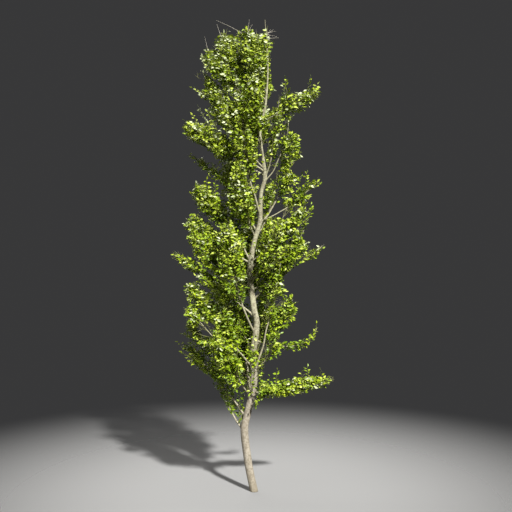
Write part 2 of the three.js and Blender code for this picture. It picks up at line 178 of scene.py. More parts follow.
LIMBS = (
    Limb("low_left", 1.150, 156, 0.860, 2.650, 0.90, 0.35, 0.25, 0.34, True, slim=0.8, youth=-0.15),
    Limb("low_back_left", 1.400, 152, 1.500, 2.670, 0.42, 0.50, 0.25, 0.26, True, slim=0.85, youth=-0.15),
    Limb("low_small", 1.420, 157, 0.260, 1.550, 0.50, 0.50, 0.20, 0.23, youth=-0.15),
    Limb("low_right", 1.860, -8, 1.465, 2.170, 0.55, 0.50, 0.06, 0.19, fill=2.5, slim=0.75, youth=0.1),
    Limb("low_front_left", 1.780, -134, 0.840, 2.880, 0.60, 0.45, 0.28, 0.37, True, shown=0.5),
    Limb("low_front", 1.740, -87, 0.450, 3.010, 0.90, 0.40, 0.22, 0.28),
    Limb("low_far_left", 1.830, 150, 1.600, 3.220, 0.42, 0.50, 0.40, 0.29, youth=-0.12),
    Limb("low_back", 1.890, 103, 1.030, 3.280, 0.60, 0.40, 0.30, 0.43),
    Limb("left_lower", 2.020, -165, 1.240, 3.450, 0.45, 0.50, 0.28, 0.36, True),
    Limb("right_short", 2.290, -40, 0.540, 3.020, 0.70, 0.30, 0.30, 0.27, shown=0.35, youth=-0.14),
    Limb("right_drooping", 2.880, -5, 1.190, 3.110, 0.86, -1.30, 0.30, 0.12, fill=1.8, slim=0.5, youth=-0.14),
    Limb("right_long", 2.260, -31, 0.590, 4.380, 0.50, 0.30, 0.60, 0.30, True, youth=-0.1),
    Limb("left_middle", 2.350, -175, 1.165, 3.880, 0.50, 0.40, 0.28, 0.43, True),
    Limb("right_lower", 2.740, -3, 0.740, 3.660, 0.55, 0.42, 0.15, 0.34, slim=0.85, youth=-0.16),
    Limb("back_right_lower", 2.790, 65, 1.000, 3.800, 0.60, 0.40, 0.30, 0.40),
    Limb("back_left_lower", 2.690, 131, 1.200, 4.000, 0.55, 0.40, 0.30, 0.43),
    Limb("front_left_riser", 2.980, -131, 0.725, 5.000, 0.75, 0.35, 0.50, 0.43, True, shown=0.72),
    Limb("left_tip", 3.310, -172, 1.490, 4.500, 0.55, 0.64, 0.35, 0.24, slim=0.75),
    Limb("right_shoulder", 3.650, -9, 0.960, 4.980, 0.55, 0.35, 0.14, 0.43, slim=0.85, youth=-0.05),
    Limb("right_tip", 3.840, 0, 1.280, 4.660, 0.60, 0.45, 0.22, 0.20, slim=0.5),
    Limb("left_shoulder", 3.840, -168, 1.130, 4.830, 0.55, 0.40, 0.30, 0.41, True, slim=0.9, youth=-0.05),
    Limb("back_middle", 3.650, 95, 1.000, 4.980, 0.60, 0.40, 0.30, 0.46),
    Limb("left_upper_shoulder", 4.350, 174, 1.325, 5.220, 0.55, 0.45, 0.35, 0.38, slim=0.85),
    Limb("front_right", 3.940, -66, 0.930, 5.100, 0.60, 0.40, 0.30, 0.40),
    Limb("right_inner", 4.380, -19, 0.910, 5.310, 0.60, 0.40, 0.30, 0.37),
    Limb("back_right_middle", 4.220, 41, 0.905, 5.510, 0.60, 0.40, 0.35, 0.37),
    Limb("left_feather", 4.380, 175, 1.145, 5.800, 0.45, 0.66, 0.40, 0.36),
    Limb("front_left_middle", 4.830, -120, 0.515, 6.210, 0.75, 0.35, 0.45, 0.37, shown=0.45),
    Limb("back_left_middle", 4.950, 125, 0.915, 6.270, 0.55, 0.40, 0.30, 0.40),
    Limb("right_arm", 5.140, -4, 1.220, 5.910, 0.55, 0.34, 0.12, 0.22, slim=0.85),
    Limb("right_inner_upper", 4.850, 12, 0.470, 6.150, 0.80, 0.35, 0.30, 0.29),
    Limb("right_plume", 5.080, 7, 0.800, 6.800, 0.80, 0.35, 0.40, 0.30, True, slim=0.8),
    Limb("left_thin", 5.350, 169, 1.270, 6.450, 0.50, 0.62, 0.25, 0.18, slim=0.6),
    Limb("centre_riser", 5.290, -121, 0.465, 7.380, 0.80, 0.35, 0.50, 0.37, True, shown=0.85),
    Limb("left_wing", 6.100, -174, 1.210, 6.900, 0.55, 0.62, 0.25, 0.40, slim=0.95, youth=0.03),
    Limb("left_wing_low", 6.020, 169, 1.270, 6.880, 0.55, 0.50, 0.35, 0.27, slim=0.8),
    Limb("right_inner_riser", 5.950, -20, 0.500, 7.420, 0.75, 0.35, 0.25, 0.29),
    Limb("right_riser", 5.900, -17, 0.690, 7.070, 0.85, 0.35, 0.50, 0.30, True, slim=0.75),
    Limb("left_inner_wing", 6.150, -160, 0.690, 7.480, 0.65, 0.40, 0.25, 0.33),
    Limb("back_upper", 6.520, 98, 0.605, 7.880, 0.60, 0.40, 0.25, 0.40),
    Limb("front_upper", 6.350, -92, 0.600, 7.750, 0.65, 0.40, 0.25, 0.35),
    Limb("left_upper", 6.670, 177, 0.960, 7.900, 0.55, 0.40, 0.30, 0.46, youth=0.04),
    Limb("top_left", 7.240, -174, 0.880, 8.270, 0.55, 0.45, 0.25, 0.40, youth=0.05),
    Limb("right_spray", 7.060, -5, 1.200, 7.610, 0.50, 0.45, 0.10, 0.26, slim=0.7),
    Limb("top_middle_left", 7.470, 174, 0.660, 8.740, 0.65, 0.40, 0.20, 0.44, youth=0.05),
    Limb("top_back", 7.350, 80, 0.400, 8.760, 0.65, 0.40, 0.20, 0.36),
    Limb("top_front", 7.620, -124, 0.300, 8.720, 0.65, 0.35, 0.15, 0.37),
    Limb("top_leader", 7.950, -4, 0.250, 8.800, 0.75, 0.35, 0.15, 0.25, slim=0.85),
)


@dataclass(frozen=True)
class Opening:
    """A place where the sky shows through or beside the crown, seen from the front: an ellipse.

    tilt turns it, in degrees: above 0, its right end rises.
    """

    right: float
    height: float
    half_width: float
    half_height: float
    tilt: float = 0.0

    def covers(self, points: np.ndarray) -> np.ndarray:
        """Finds the points that lie in the opening, at any depth.

        Args:
            points: One point a row.

        Returns:
            One truth value a point.
        """
        turn = math.radians(self.tilt)
        east, up = points[:, 0] - self.right, points[:, 2] - self.height
        across = (east * math.cos(turn) + up * math.sin(turn)) / self.half_width
        upward = (up * math.cos(turn) - east * math.sin(turn)) / self.half_height
        return across**2 + upward**2 < 1


OPENINGS = (
    # gaps in the crown
    Opening(0.37, 6.12, 0.05, 0.18),
    Opening(0.53, 5.36, 0.24, 0.15),
    Opening(0.50, 3.62, 0.08, 0.14),
    Opening(0.40, 2.50, 0.10, 0.08),
    Opening(0.29, 3.56, 0.06, 0.13),
    Opening(-0.94, 3.10, 0.17, 0.19),
    Opening(-0.37, 7.71, 0.19, 0.05, -45),
    Opening(0.54, 6.77, 0.17, 0.04, 31),
    Opening(-0.60, 5.64, 0.05, 0.07),
    Opening(0.24, 2.66, 0.05, 0.09),
    # bays on its left side, from the top down
    Opening(-0.28, 8.94, 0.20, 0.16),
    Opening(-0.80, 8.77, 0.30, 0.12, 35),
    Opening(-1.05, 7.83, 0.10, 0.18),
    Opening(-0.98, 7.40, 0.12, 0.09),
    Opening(-1.03, 6.53, 0.30, 0.08, -30),
    Opening(-1.24, 5.86, 0.07, 0.11),
    Opening(-1.37, 5.34, 0.12, 0.20),
    Opening(-1.40, 4.88, 0.11, 0.17),
    Opening(-1.33, 4.11, 0.22, 0.12, -8),
    Opening(-1.42, 3.33, 0.12, 0.20),
    Opening(-0.96, 1.86, 0.22, 0.52, 36),
    Opening(-0.57, 1.50, 0.09, 0.22, 30),
    # and on its right side
    Opening(0.42, 8.80, 0.15, 0.18),
    Opening(0.50, 8.20, 0.17, 0.50),
    Opening(0.40, 7.52, 0.06, 0.20),
    Opening(0.86, 6.98, 0.22, 0.14, 12),
    Opening(1.03, 6.62, 0.12, 0.17),
    Opening(0.89, 6.20, 0.17, 0.16),
    Opening(1.10, 5.71, 0.11, 0.05, 15),
    Opening(1.03, 4.98, 0.16, 0.20),
    Opening(0.96, 4.16, 0.42, 0.19, 25),
    Opening(0.90, 3.70, 0.15, 0.22),
    Opening(0.92, 3.20, 0.18, 0.13, 30),
    Opening(0.31, 2.39, 0.09, 0.11),
    Opening(0.75, 2.98, 0.30, 0.09, 8),
)


# ---------------------------------------------------------------------------------------------
# Growth
# ---------------------------------------------------------------------------------------------


class Draws:
    """A repeatable stream of draws between 0 and 1, the same as the one the solids are grown by."""

    seed_step = 7919
    factor = 48271
    modulus = 2147483647
    warm_up = 3

    def __init__(self, seed: int) -> None:
        """Starts the stream.

        Args:
            seed: A whole number above 0.
        """
        self.state = seed * self.seed_step + 1
        for _ in range(self.warm_up):
            self.next()

    def next(self) -> float:
        """The next draw."""
        self.state = self.state * self.factor % self.modulus
        return self.state / self.modulus

    def between(self, low: float, high: float, count: int) -> np.ndarray:
        """Several draws, spread evenly between two values.

        Args:
            low: The least value.
            high: The greatest value.
            count: How many are drawn.

        Returns:
            An array of that many values.
        """
        return low + (high - low) * np.array([self.next() for _ in range(count)])


def unit(vectors: np.ndarray) -> np.ndarray:
    """Vectors scaled to a length of one."""
    return vectors / np.maximum(np.linalg.norm(vectors, axis=-1, keepdims=True), 1e-9)


def ring_bases(along: np.ndarray) -> tuple[np.ndarray, np.ndarray]:
    """The two directions that span the rings of limbs at points where they run along.

    Args:
        along: Unit vectors, one row each.

    Returns:
        The sideways directions, which are level, and the directions over them.
    """
    side = np.stack([-along[:, 1], along[:, 0], np.zeros(len(along))], axis=1)
    side[np.linalg.norm(side, axis=1) < 1e-3] = (1, 0, 0)
    side = unit(side)
    return side, np.cross(along, side)


def leaning(along: np.ndarray, lean: np.ndarray, roll: np.ndarray) -> np.ndarray:
    """Directions that lean away from others.

    Args:
        along: The directions that are left, as unit vectors.
        lean: The angle from each, in radians.
        roll: The turn round each, in radians.

    Returns:
        Unit vectors.
    """
    side, over = ring_bases(along)
    outward = side * np.cos(roll)[:, None] + over * np.sin(roll)[:, None]
    return along * np.cos(lean)[:, None] + outward * np.sin(lean)[:, None]


def dealt(counts: np.ndarray) -> tuple[np.ndarray, np.ndarray, np.ndarray]:
    """Deals places out to carriers.

    Args:
        counts: How many places each carrier has.

    Returns:
        For each place the number of its carrier, its own number on it, and whether it is the last there.
    """
    on = np.repeat(np.arange(len(counts)), counts)
    order = np.concatenate([np.arange(count) for count in counts])
    return on, order, order == counts[on] - 1


@dataclass
class LimbLine:
    """The curve of one limb, from the trunk's middle to its tip, with a slight wander of its own."""

    limb: Limb
    trunk: TrunkLine
    seed: int
    tip_width: float = 0.007
    width_share: float = 0.02
    least_width: float = 0.022
    trunk_share: float = 0.6
    wander: float = 0.007  # sideways swing, as a share of the length
    swings: tuple[float, float] = (1.4, 3.3)  # how many times it swings on its way, slowly and quickly,
    quick_share: float = 0.5  # the quick swing being this share of the slow one
    taper: float = 0.9
    samples: int = 41  # points by which the length is measured

    def __post_init__(self) -> None:
        """Works out the curve's three points, its length and its swings."""
        limb = self.limb
        start = self.trunk.middle(limb.leave)
        turn = math.radians(limb.turn)
        tip = Vector((limb.reach * math.cos(turn), limb.reach * math.sin(turn), limb.top))
        way = tip - start
        bend = start + Vector((way.x * limb.out, way.y * limb.out, way.z * limb.up))
        self.start, self.bend, self.tip = (np.array(p) for p in (start, bend, tip))
        steps = self.plain(np.linspace(0, 1, self.samples))
        self.length = float(np.linalg.norm(np.diff(steps, axis=0), axis=1).sum())
        self.phases = Draws(self.seed).between(0, 2 * math.pi, 4)
        self.foot_width = min(
            max(self.least_width, self.length * self.width_share),
            self.trunk.width(limb.leave) * self.trunk_share,
        )

    def leafy(self, shares: np.ndarray) -> np.ndarray:
        """The curve's shares at shares of the way along its leafy part."""
        return self.limb.leafy_from + (1 - self.limb.leafy_from) * np.asarray(shares, float)

    def plain(self, u: np.ndarray) -> np.ndarray:
        """Points on the curve without its wander."""
        t = np.asarray(u, float)[:, None]
        return self.start * (1 - t) ** 2 + self.bend * 2 * t * (1 - t) + self.tip * t**2

    def tangents(self, u: np.ndarray) -> np.ndarray:
        """Unit vectors along the curve."""
        t = np.asarray(u, float)[:, None]
        return unit((self.bend - self.start) * (1 - t) + (self.tip - self.bend) * t)

    def points(self, u: np.ndarray) -> np.ndarray:
        """Points on the limb's middle, wander and all.

        Args:
            u: Shares of the way along the curve.

        Returns:
            One point a row.
        """
        u = np.asarray(u, float)
        side, over = ring_bases(self.tangents(u))
        size = self.wander * self.length * np.sin(math.pi * np.clip(u, 0, 1))
        slow, quick = (2 * math.pi * u * swing for swing in self.swings)
        first, second = (
            np.sin(slow + start) + self.quick_share * np.sin(quick + other)
            for start, other in (self.phases[:2], self.phases[2:])
        )
        return self.plain(u) + side * (size * first)[:, None] + over * (size * second)[:, None]

    def widths(self, u: np.ndarray) -> np.ndarray:
        """The limb's diameter at points on it."""
        left = (1 - np.asarray(u, float)) ** self.taper
        return self.tip_width + (self.foot_width - self.tip_width) * left


class Spaces:
    """The spindles of space that the masses of foliage keep to."""

    samples = 24
    end_fullness = 0.42
    more_fullness = 0.58  # what is added at the fullest place
    footward = 0.8  # below 1, that place is nearer to the foot
    batch = 4000  # points that are looked at together

    def __init__(self, lines: Sequence[LimbLine]) -> None:
        """Samples every limb's leafy part.

        Args:
            lines: The limbs' curves, in the limbs' order.
        """
        self.lines = lines
        shares = np.arange(self.samples + 1) / self.samples
        points = [line.plain(line.leafy(shares)) for line in lines]
        self.points = np.concatenate(points)
        self.halves = np.array([line.limb.spread for line in lines])[:, None] * self.fullness(shares)

    def fullness(self, shares: np.ndarray) -> np.ndarray:
        """How full a space is at shares of the way along its stem."""
        bulge = np.sin(math.pi * np.clip(shares, 0, 1) ** self.footward)
        return self.end_fullness + self.more_fullness * bulge

    def half_widths(self, index: int, shares: np.ndarray) -> np.ndarray:
        """Half of one space's width at shares of the way along its stem."""
        return self.lines[index].limb.spread * self.fullness(shares)

    def depths(self, points: np.ndarray) -> np.ndarray:
        """How far points are from each stem, as shares of the space's half width there.

        Args:
            points: One point a row.

        Returns:
            One row a point, and one column a space.
        """
        flat = (points**2).sum(1)[:, None] + (self.points**2).sum(1)[None] - 2 * points @ self.points.T
        squares = np.maximum(flat, 0).reshape(len(points), len(self.lines), self.samples + 1)
        nearest = squares.argmin(2)
        least = np.take_along_axis(squares, nearest[:, :, None], 2)[:, :, 0]
        return np.sqrt(least) / self.halves[np.arange(len(self.lines))[None], nearest]

    def keep(self, owners: np.ndarray, points: np.ndarray, edge: float = 1.0) -> np.ndarray:
        """True for points that are in their own space, and in no other more deeply.

        Args:
            owners: The index of each point's own space.
            points: One point a row.
            edge: The greatest depth that counts as inside.

        Returns:
            One truth value a point.
        """
        kept = np.zeros(len(points), bool)
        for at in range(0, len(points), self.batch):
            part = slice(at, at + self.batch)
            depths = self.depths(points[part])
            own = depths[np.arange(len(depths)), owners[part]]
            kept[part] = (own < edge) & (own <= depths.min(1) + 1e-6)
        return kept


class Rows:
    """A table of arrays, with one row for each thing that grows."""

    def columns(self) -> list[np.ndarray]:
        """All the arrays, in the fields' order."""
        return [getattr(self, name) for name in self.__dataclass_fields__]

    def take(self, chosen: np.ndarray) -> Self:
        """Some of the rows."""
        return type(self)(*(column[chosen] for column in self.columns()))

    @classmethod
    def joined(cls, parts: Sequence[Self]) -> Self:
        """The rows of several tables, in order."""
        return cls(*(np.concatenate(column) for column in zip(*(part.columns() for part in parts))))


@dataclass
class Wands(Rows):
    """Slender curved pieces of wood, such as twigs or shoots: one row each."""

    owners: np.ndarray  # the limb that each belongs to
    roots: np.ndarray
    ways: np.ndarray  # unit vectors along which they leave
    lengths: np.ndarray
    lifts: np.ndarray  # how far the tip is raised
    shares: np.ndarray  # how far along its limb each one stands, from 0 to 1

    def tips(self, factor: float = 1.0) -> np.ndarray:
        """Where the wands end.

        Args:
            factor: How many times as long as themselves they are taken to be.

        Returns:
            One point a wand.
        """
        ends = self.roots + self.ways * (self.lengths * factor)[:, None]
        ends[:, 2] += self.lifts * factor
        return ends

    def points(self, t: np.ndarray) -> np.ndarray:
        """Points on the wands.

        Args:
            t: The share along each wand, one value a wand.

        Returns:
            One point a wand.
        """
        at = t[:, None]
        raised = np.zeros_like(self.roots)
        raised[:, 2] = self.lifts * t**2
        return self.roots + self.ways * self.lengths[:, None] * at + raised

    def tangents(self, t: np.ndarray) -> np.ndarray:
        """The ways that the wands run.

        Args:
            t: The share along each wand, one value a wand.

        Returns:
            One unit vector a wand.
        """
        along = self.ways * self.lengths[:, None]
        along[:, 2] += 2 * self.lifts * t
        return unit(along)


@dataclass(frozen=True)
class Habit:
    """How the foliage grows: the numbers of the rule, in metres and degrees, and turns in radians.

    Two numbers in brackets are the least and the greatest that are drawn, unless a comment says more.
    """

    first_seed: int = 11
    shorter: tuple[float, ...] = (1.0, 0.78, 0.58, 0.42)  # tried in turn until one keeps to its space
    # twigs
    twig_area: float = 0.0215  # of a space's side view for each twig,
    space_margin: float = 0.25  # with this much added to its half width
    fewest_twigs: int = 4
    twig_places: tuple[float, float] = (0.1, 0.9)  # of the way to the next twig's share
    twig_leans: tuple[float, float] = (30, 62)
    twig_closing: float = 0.35  # the share of its lean that a twig at the limb's tip loses
    twig_roll: float = 0.4
    twig_fills: tuple[float, float] = (0.7, 1.05)  # of the way to the space's edge
    twig_longest: float = 0.62
    twig_lift: float = 0.16  # of its length, times one of these
    twig_lifts: tuple[float, float] = (0.3, 1.2)
    # shoots
    shoot_gap: float = 0.055
    fewest_shoots: int = 2
    shoot_start: float = 0.3  # of the way from one shoot to the next, and up to this much more
    shoot_jitter: float = 0.6
    shoot_leans: tuple[float, float] = (32, 58)
    shoot_roll: float = 0.5
    last_lean: float = 0.15
    shoot_lengths: tuple[float, float] = (0.09, 0.21)
    shoot_shares: tuple[float, float] = (1.15, 0.45)  # of that length at the twig's foot, and lost by its tip
    shoot_lift: float = 0.15
    shoot_lifts: tuple[float, float] = (0.2, 1.4)
    # leaves
    leaf_gap: float = 0.0235
    sprig_leaf_gap: float = 0.023
    shade_leaf_gap: float = 0.032  # between the shade leaves, which sit on the twigs
    fewest_leaves: int = 2
    leaf_edge: float = 1.06  # the leaves keep to this share of a space,
    shade_edge: float = 0.85  # and the shade leaves to this
    leaf_leans: tuple[float, float] = (42, 78)
    last_leaf: float = 0.3  # the share of its lean that the leaf at the tip keeps
    leaf_roll: float = 0.7
    leaf_droop: float = 0.22
    leaf_droops: tuple[float, float] = (0.2, 1.8)
    leaf_facing: tuple[float, float, float] = (0.6, 0.5, 1.2)  # how much outwards, upwards and any way
    leaf_sizes: tuple[float, float] = (0.082, 0.116)
    leaf_shares: tuple[float, float] = (1.04, 0.16)  # of that size at the shoot's foot, and lost by its tip
    box_margin: float = 0.035  # how far a leaf may pass the solids' box
    # tints: the parts that luck, the place on the limb, the single leaf and the height have in them; the
    # height's part, lighter up the tree, is painted light
    tint_luck: float = 0.72
    tint_place: float = 0.28
    tint_jitter: float = 0.1
    tint_height: float = 0.30
    # the shade leaves' tints are darkened by this factor: partly their own deeper green, partly painted shade
    # inside the crown
    shade_youth: float = 0.5
    # the wood that shows
    bare_heart: float = 0.05  # no leaf is nearer to the trunk's middle
    trunk_margin: float = 0.03  # leaves before the trunk, and this far beside it, are left out,
    trunk_hidden: float = 0.08  # save this share,
    covered: tuple[tuple[float, float], ...] = (  # and save at these heights, the last being the top
        (2.24, 2.74), (5.75, 6.30), (6.85, 7.05), (8.1, 9.0),
    )
    bough_margin: float = 0.028  # and so are those before a bough,
    bough_hidden: float = 0.12  # save this share
    bough_foot: float = 0.02
    bough_samples: int = 40
    sunward: tuple[float, float, float] = (0.46, -0.85, 0.88)
    sun_reach: tuple[float, float] = (0.08, 1.0)  # leaves this far sunward of the trunk are thinned,
    sun_samples: int = 24
    sun_margin: float = 0.05  # also where they shade a place this far beside it
    sun_thinning: float = 0.96
    sun_floor: float = 1.85  # below this height the trunk stays in their shade


@dataclass
class Leaves(Rows):
    """The leaves: where each one is rooted, how it lies, how large it is, and its tint's number."""

    roots: np.ndarray
    ways: np.ndarray
    faces: np.ndarray
    sizes: np.ndarray
    tints: np.ndarray


class Crown:
    """The growth of the whole crown: limbs, twigs, shoots and leaves."""

    levels = 181  # heights at which the trunk's line is worked out once for all

    def __init__(self, trunk: TrunkLine, habit: Habit) -> None:
        """Sets the limbs' lines and the spaces out.

        Args:
            trunk: The trunk's line.
            habit: The rule's numbers.
        """
        self.trunk = trunk
        self.habit = habit
        self.lines = [LimbLine(limb, trunk, habit.first_seed + i) for i, limb in enumerate(LIMBS)]
        self.spaces = Spaces(self.lines)
        heights = np.linspace(0, trunk.height, self.levels)
        self.trunk_heights = heights
        self.trunk_middles = np.array([trunk.middle(h) for h in heights])
        self.trunk_widths = np.array([trunk.width(h) for h in heights])
        self.least, self.most = (np.array(corner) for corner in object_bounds())

    def line(self, name: str) -> LimbLine:
        """The line of the limb of that name."""
        return next(line for line in self.lines if line.limb.name == name)

    def fitted(self, wands: Wands) -> Wands:
        """Shortens wands until they keep to their spaces, and drops those that can't.

        Args:
            wands: The wands at their full length.

        Returns:
            The wands that stay.
        """
        left = np.ones(len(wands.lengths), bool)
        factors = np.zeros(len(wands.lengths))
        for factor in self.habit.shorter:
            rows = np.flatnonzero(left)
            if not len(rows):
                break
            part = wands.take(rows)
            ends = part.tips(factor)
            inside = self.spaces.keep(part.owners, ends) & ~self.open_sky(ends)
            factors[rows[inside]] = factor
            left[rows[inside]] = False
        kept = factors > 0
        chosen = wands.take(kept)
        chosen.lengths = chosen.lengths * factors[kept]
        chosen.lifts = chosen.lifts * factors[kept]
        return chosen

    @staticmethod
    def open_sky(points: np.ndarray) -> np.ndarray:
        """True for points in one of the crown's openings."""
        return np.any([opening.covers(points) for opening in OPENINGS], axis=0)

    def twigs(self) -> Wands:
        """The twigs that leave the limbs, in a spiral round each."""
        habit = self.habit
        parts = []
        for index, line in enumerate(self.lines):
            limb = line.limb
            draws = Draws(habit.first_seed + index)
            leafy = line.length * (1 - limb.leafy_from)
            area = leafy * (limb.spread + habit.space_margin)
            count = max(habit.fewest_twigs, round(area * limb.fill / habit.twig_area))
            shares = (np.arange(count) + draws.between(*habit.twig_places, count)) / count
            u = line.leafy(shares)
            leans = np.radians(draws.between(*habit.twig_leans, count)) * (1 - habit.twig_closing * shares)
            rolls = GOLDEN_TURN * np.arange(count) + draws.between(-habit.twig_roll, habit.twig_roll, count)
            ways = leaning(line.tangents(u), leans, rolls)
            fills = draws.between(*habit.twig_fills, count)
            reach = self.spaces.half_widths(index, shares) * fills / np.sin(leans)
            lengths = np.minimum(reach, habit.twig_longest) * limb.slim
            lifts = lengths * habit.twig_lift * draws.between(*habit.twig_lifts, count)
            owners = np.full(count, index)
            parts.append(Wands(owners, line.points(u), ways, lengths, lifts, shares))
        return self.fitted(Wands.joined(parts))

    def shoots(self, twigs: Wands) -> Wands:
        """The leafy shoots on the twigs, the last of each going on from its tip.

        Args:
            twigs: The twigs that carry them.

        Returns:
            The shoots that keep to their spaces.
        """
        habit = self.habit
        draws = Draws(habit.first_seed + len(LIMBS))
        gaps = np.round(twigs.lengths / habit.shoot_gap)
        counts = np.maximum(habit.fewest_shoots, gaps).astype(int)
        total = int(counts.sum())
        on, order, last = dealt(counts)
        carrier = twigs.take(on)
        t = (order + habit.shoot_start + draws.between(0, habit.shoot_jitter, total)) / counts[on]
        t = np.where(last, 1.0, t)
        leans = np.where(last, habit.last_lean, np.radians(draws.between(*habit.shoot_leans, total)))
        rolls = GOLDEN_TURN * order + draws.between(-habit.shoot_roll, habit.shoot_roll, total) + on
        ways = leaning(carrier.tangents(t), leans, rolls)
        foot, loss = habit.shoot_shares
        lengths = draws.between(*habit.shoot_lengths, total) * (foot - loss * t)
        lifts = lengths * habit.shoot_lift * draws.between(*habit.shoot_lifts, total)
        return self.fitted(Wands(carrier.owners, carrier.points(t), ways, lengths, lifts, carrier.shares))

    def sprigs(self) -> Wands:
        """The lone leafy sprigs that stand out of the crown."""
        lines = [self.line(sprig.limb) for sprig in SPRIGS]
        roots = np.array([line.points([sprig.share])[0] for line, sprig in zip(lines, SPRIGS)])
        ways = np.array([sprig.tip for sprig in SPRIGS]) - roots
        lifts = np.array([sprig.lift for sprig in SPRIGS])
        ways[:, 2] -= lifts
        owners = np.array([self.lines.index(line) for line in lines])
        shares = np.array([sprig.share for sprig in SPRIGS])
        return Wands(owners, roots, unit(ways), np.linalg.norm(ways, axis=1), lifts, shares)

    def leaves(self, shoots: Wands, seed: int, gap: float, edge: float = 0.0, youth: float = 1.0) -> Leaves:
        """The leaves along the shoots, in turn on either side, with one at each tip.

        Args:
            shoots: The shoots that carry them.
            seed: The seed of the draws.
            gap: The way between two leaves.
            edge: The share of their limb's space that the leaves keep to, or 0 where they are free.
            youth: A factor of their lightness.

        Returns:
            The leaves that keep to their spaces and leave the trunk and the openings free.
        """
        habit = self.habit
        draws = Draws(seed)
        counts = np.maximum(habit.fewest_leaves, np.round(shoots.lengths / gap)).astype(int) + 1
        total = int(counts.sum())
        on, order, last = dealt(counts)
        carrier = shoots.take(on)
        t = np.where(last, 1.0, (order + 0.5) / (counts[on] - 0.5))
        leans = np.radians(draws.between(*habit.leaf_leans, total))
        leans = np.where(last, habit.last_leaf * leans, leans)
        rolls = math.pi * (order % 2) + draws.between(-habit.leaf_roll, habit.leaf_roll, total)
        ways = leaning(carrier.tangents(t), leans, rolls)
        ways[:, 2] -= habit.leaf_droop * draws.between(*habit.leaf_droops, total)
        ways = unit(ways)
        roots = carrier.points(t)
        outward = roots - self.middles_at(roots[:, 2])
        outward[:, 2] = 0
        scatter = np.stack([draws.between(-1, 1, total) for _ in range(3)], axis=1)
        out, up, any_way = habit.leaf_facing
        faces = out * unit(outward) + np.array([0, 0, up]) + any_way * scatter
        foot, loss = habit.leaf_shares
        sizes = draws.between(*habit.leaf_sizes, total) * (foot - loss * t)
        tips = roots + ways * sizes[:, None]
        luck = draws.between(0, 1, total)
        kept = ~self.before_wood(tips, luck) & ~self.before_wood((roots + tips) / 2, luck)
        low, high = self.least - habit.box_margin, self.most + habit.box_margin
        kept &= np.all((tips > low) & (tips < high), axis=1)
        if edge:
            kept &= self.spaces.keep(carrier.owners, tips, edge) & ~self.open_sky(tips)
            kept &= ~self.shades_trunk(tips) | (draws.between(0, 1, total) > habit.sun_thinning)
        tints = self.deal_tints(carrier, on, draws, youth)
        return Leaves(roots, ways, faces, sizes, tints).take(kept)

    def shades_trunk(self, points: np.ndarray) -> np.ndarray:
        """Finds the points between the sun and the trunk, not far from it.

        Args:
            points: One point a row.

        Returns:
            One truth value a point.
        """
        habit = self.habit
        sunward = np.array(habit.sunward)
        sunward /= np.hypot(sunward[0], sunward[1])
        shading = np.zeros(len(points), bool)
        for step in np.linspace(*habit.sun_reach, habit.sun_samples):
            behind = points - sunward * step
            offsets = behind - self.middles_at(behind[:, 2])
            near = np.hypot(offsets[:, 0], offsets[:, 1]) < self.halves_at(behind[:, 2]) + habit.sun_margin
            shading |= near & (behind[:, 2] > habit.sun_floor)
        return shading

    def middles_at(self, heights: np.ndarray) -> np.ndarray:
        """The trunk's middle at many heights at once."""
        columns = [np.interp(heights, self.trunk_heights, self.trunk_middles[:, k]) for k in range(3)]
        return np.stack(columns, axis=1)

    def halves_at(self, heights: np.ndarray) -> np.ndarray:
        """Half the trunk's width at many heights at once."""
        return np.interp(heights, self.trunk_heights, self.trunk_widths) / 2

    def before_wood(self, points: np.ndarray, luck: np.ndarray) -> np.ndarray:
        """True for points close to the trunk, and for most of those that would hide it or a bough.

        Args:
            points: One point a row.
            luck: A draw for each point, from 0 to 1.

        Returns:
            One truth value a point.
        """
        habit = self.habit
        offsets = points - self.middles_at(points[:, 2])
        near = np.hypot(offsets[:, 0], offsets[:, 1]) < habit.bare_heart
        near &= points[:, 2] < habit.covered[-1][0]
        beside = self.halves_at(points[:, 2]) + habit.trunk_margin
        before = (np.abs(offsets[:, 0]) < beside) & (offsets[:, 1] < 0)
        for low, high in habit.covered:
            before &= (points[:, 2] < low) | (points[:, 2] > high)
        before &= luck > habit.trunk_hidden
        for line in self.lines:
            far = max(line.limb.shown, line.limb.bare if line.limb.bough else 0)
            if far:
                u = np.linspace(habit.bough_foot, far, habit.bough_samples)
                wood = line.points(u)
                gaps = np.hypot(*(points[:, None, k] - wood[None, :, k] for k in (0, 2)))
                nearest = gaps.argmin(1)
                hides = gaps.min(1) < line.widths(u)[nearest] / 2 + habit.bough_margin
                before |= hides & (points[:, 1] < wood[nearest, 1]) & (luck > habit.bough_hidden)
        return near | before

    def deal_tints(self, carrier: Wands, on: np.ndarray, draws: Draws, youth: float) -> np.ndarray:
        """Deals a tint to each leaf by its shoot, lighter towards the limb's tip, lighter up the tree as
        painted light, and shifted by limb as painted light and shade.

        Args:
            carrier: The shoot of each leaf.
            on: The shoot's number for each leaf.
            draws: The stream of draws.
            youth: A factor of the leaves' lightness.

        Returns:
            The tint's number for each leaf.
        """
        habit = self.habit
        by_shoot = draws.between(0, 1, int(on.max()) + 1)
        age_light_and_shade = habit.tint_luck * by_shoot[on] + habit.tint_place * carrier.shares
        age_light_and_shade += draws.between(-habit.tint_jitter, habit.tint_jitter, len(on))
        # painted light: the leaves are lighter up the tree
        age_light_and_shade += habit.tint_height * (carrier.roots[:, 2] / self.trunk.height - 0.5)
        # painted light where a limb's tint shift is above 0, painted shade where it is below
        age_light_and_shade += np.array([line.limb.youth for line in self.lines])[carrier.owners]
        return np.clip((age_light_and_shade * youth * len(Tint)).astype(int), 0, len(Tint) - 1)


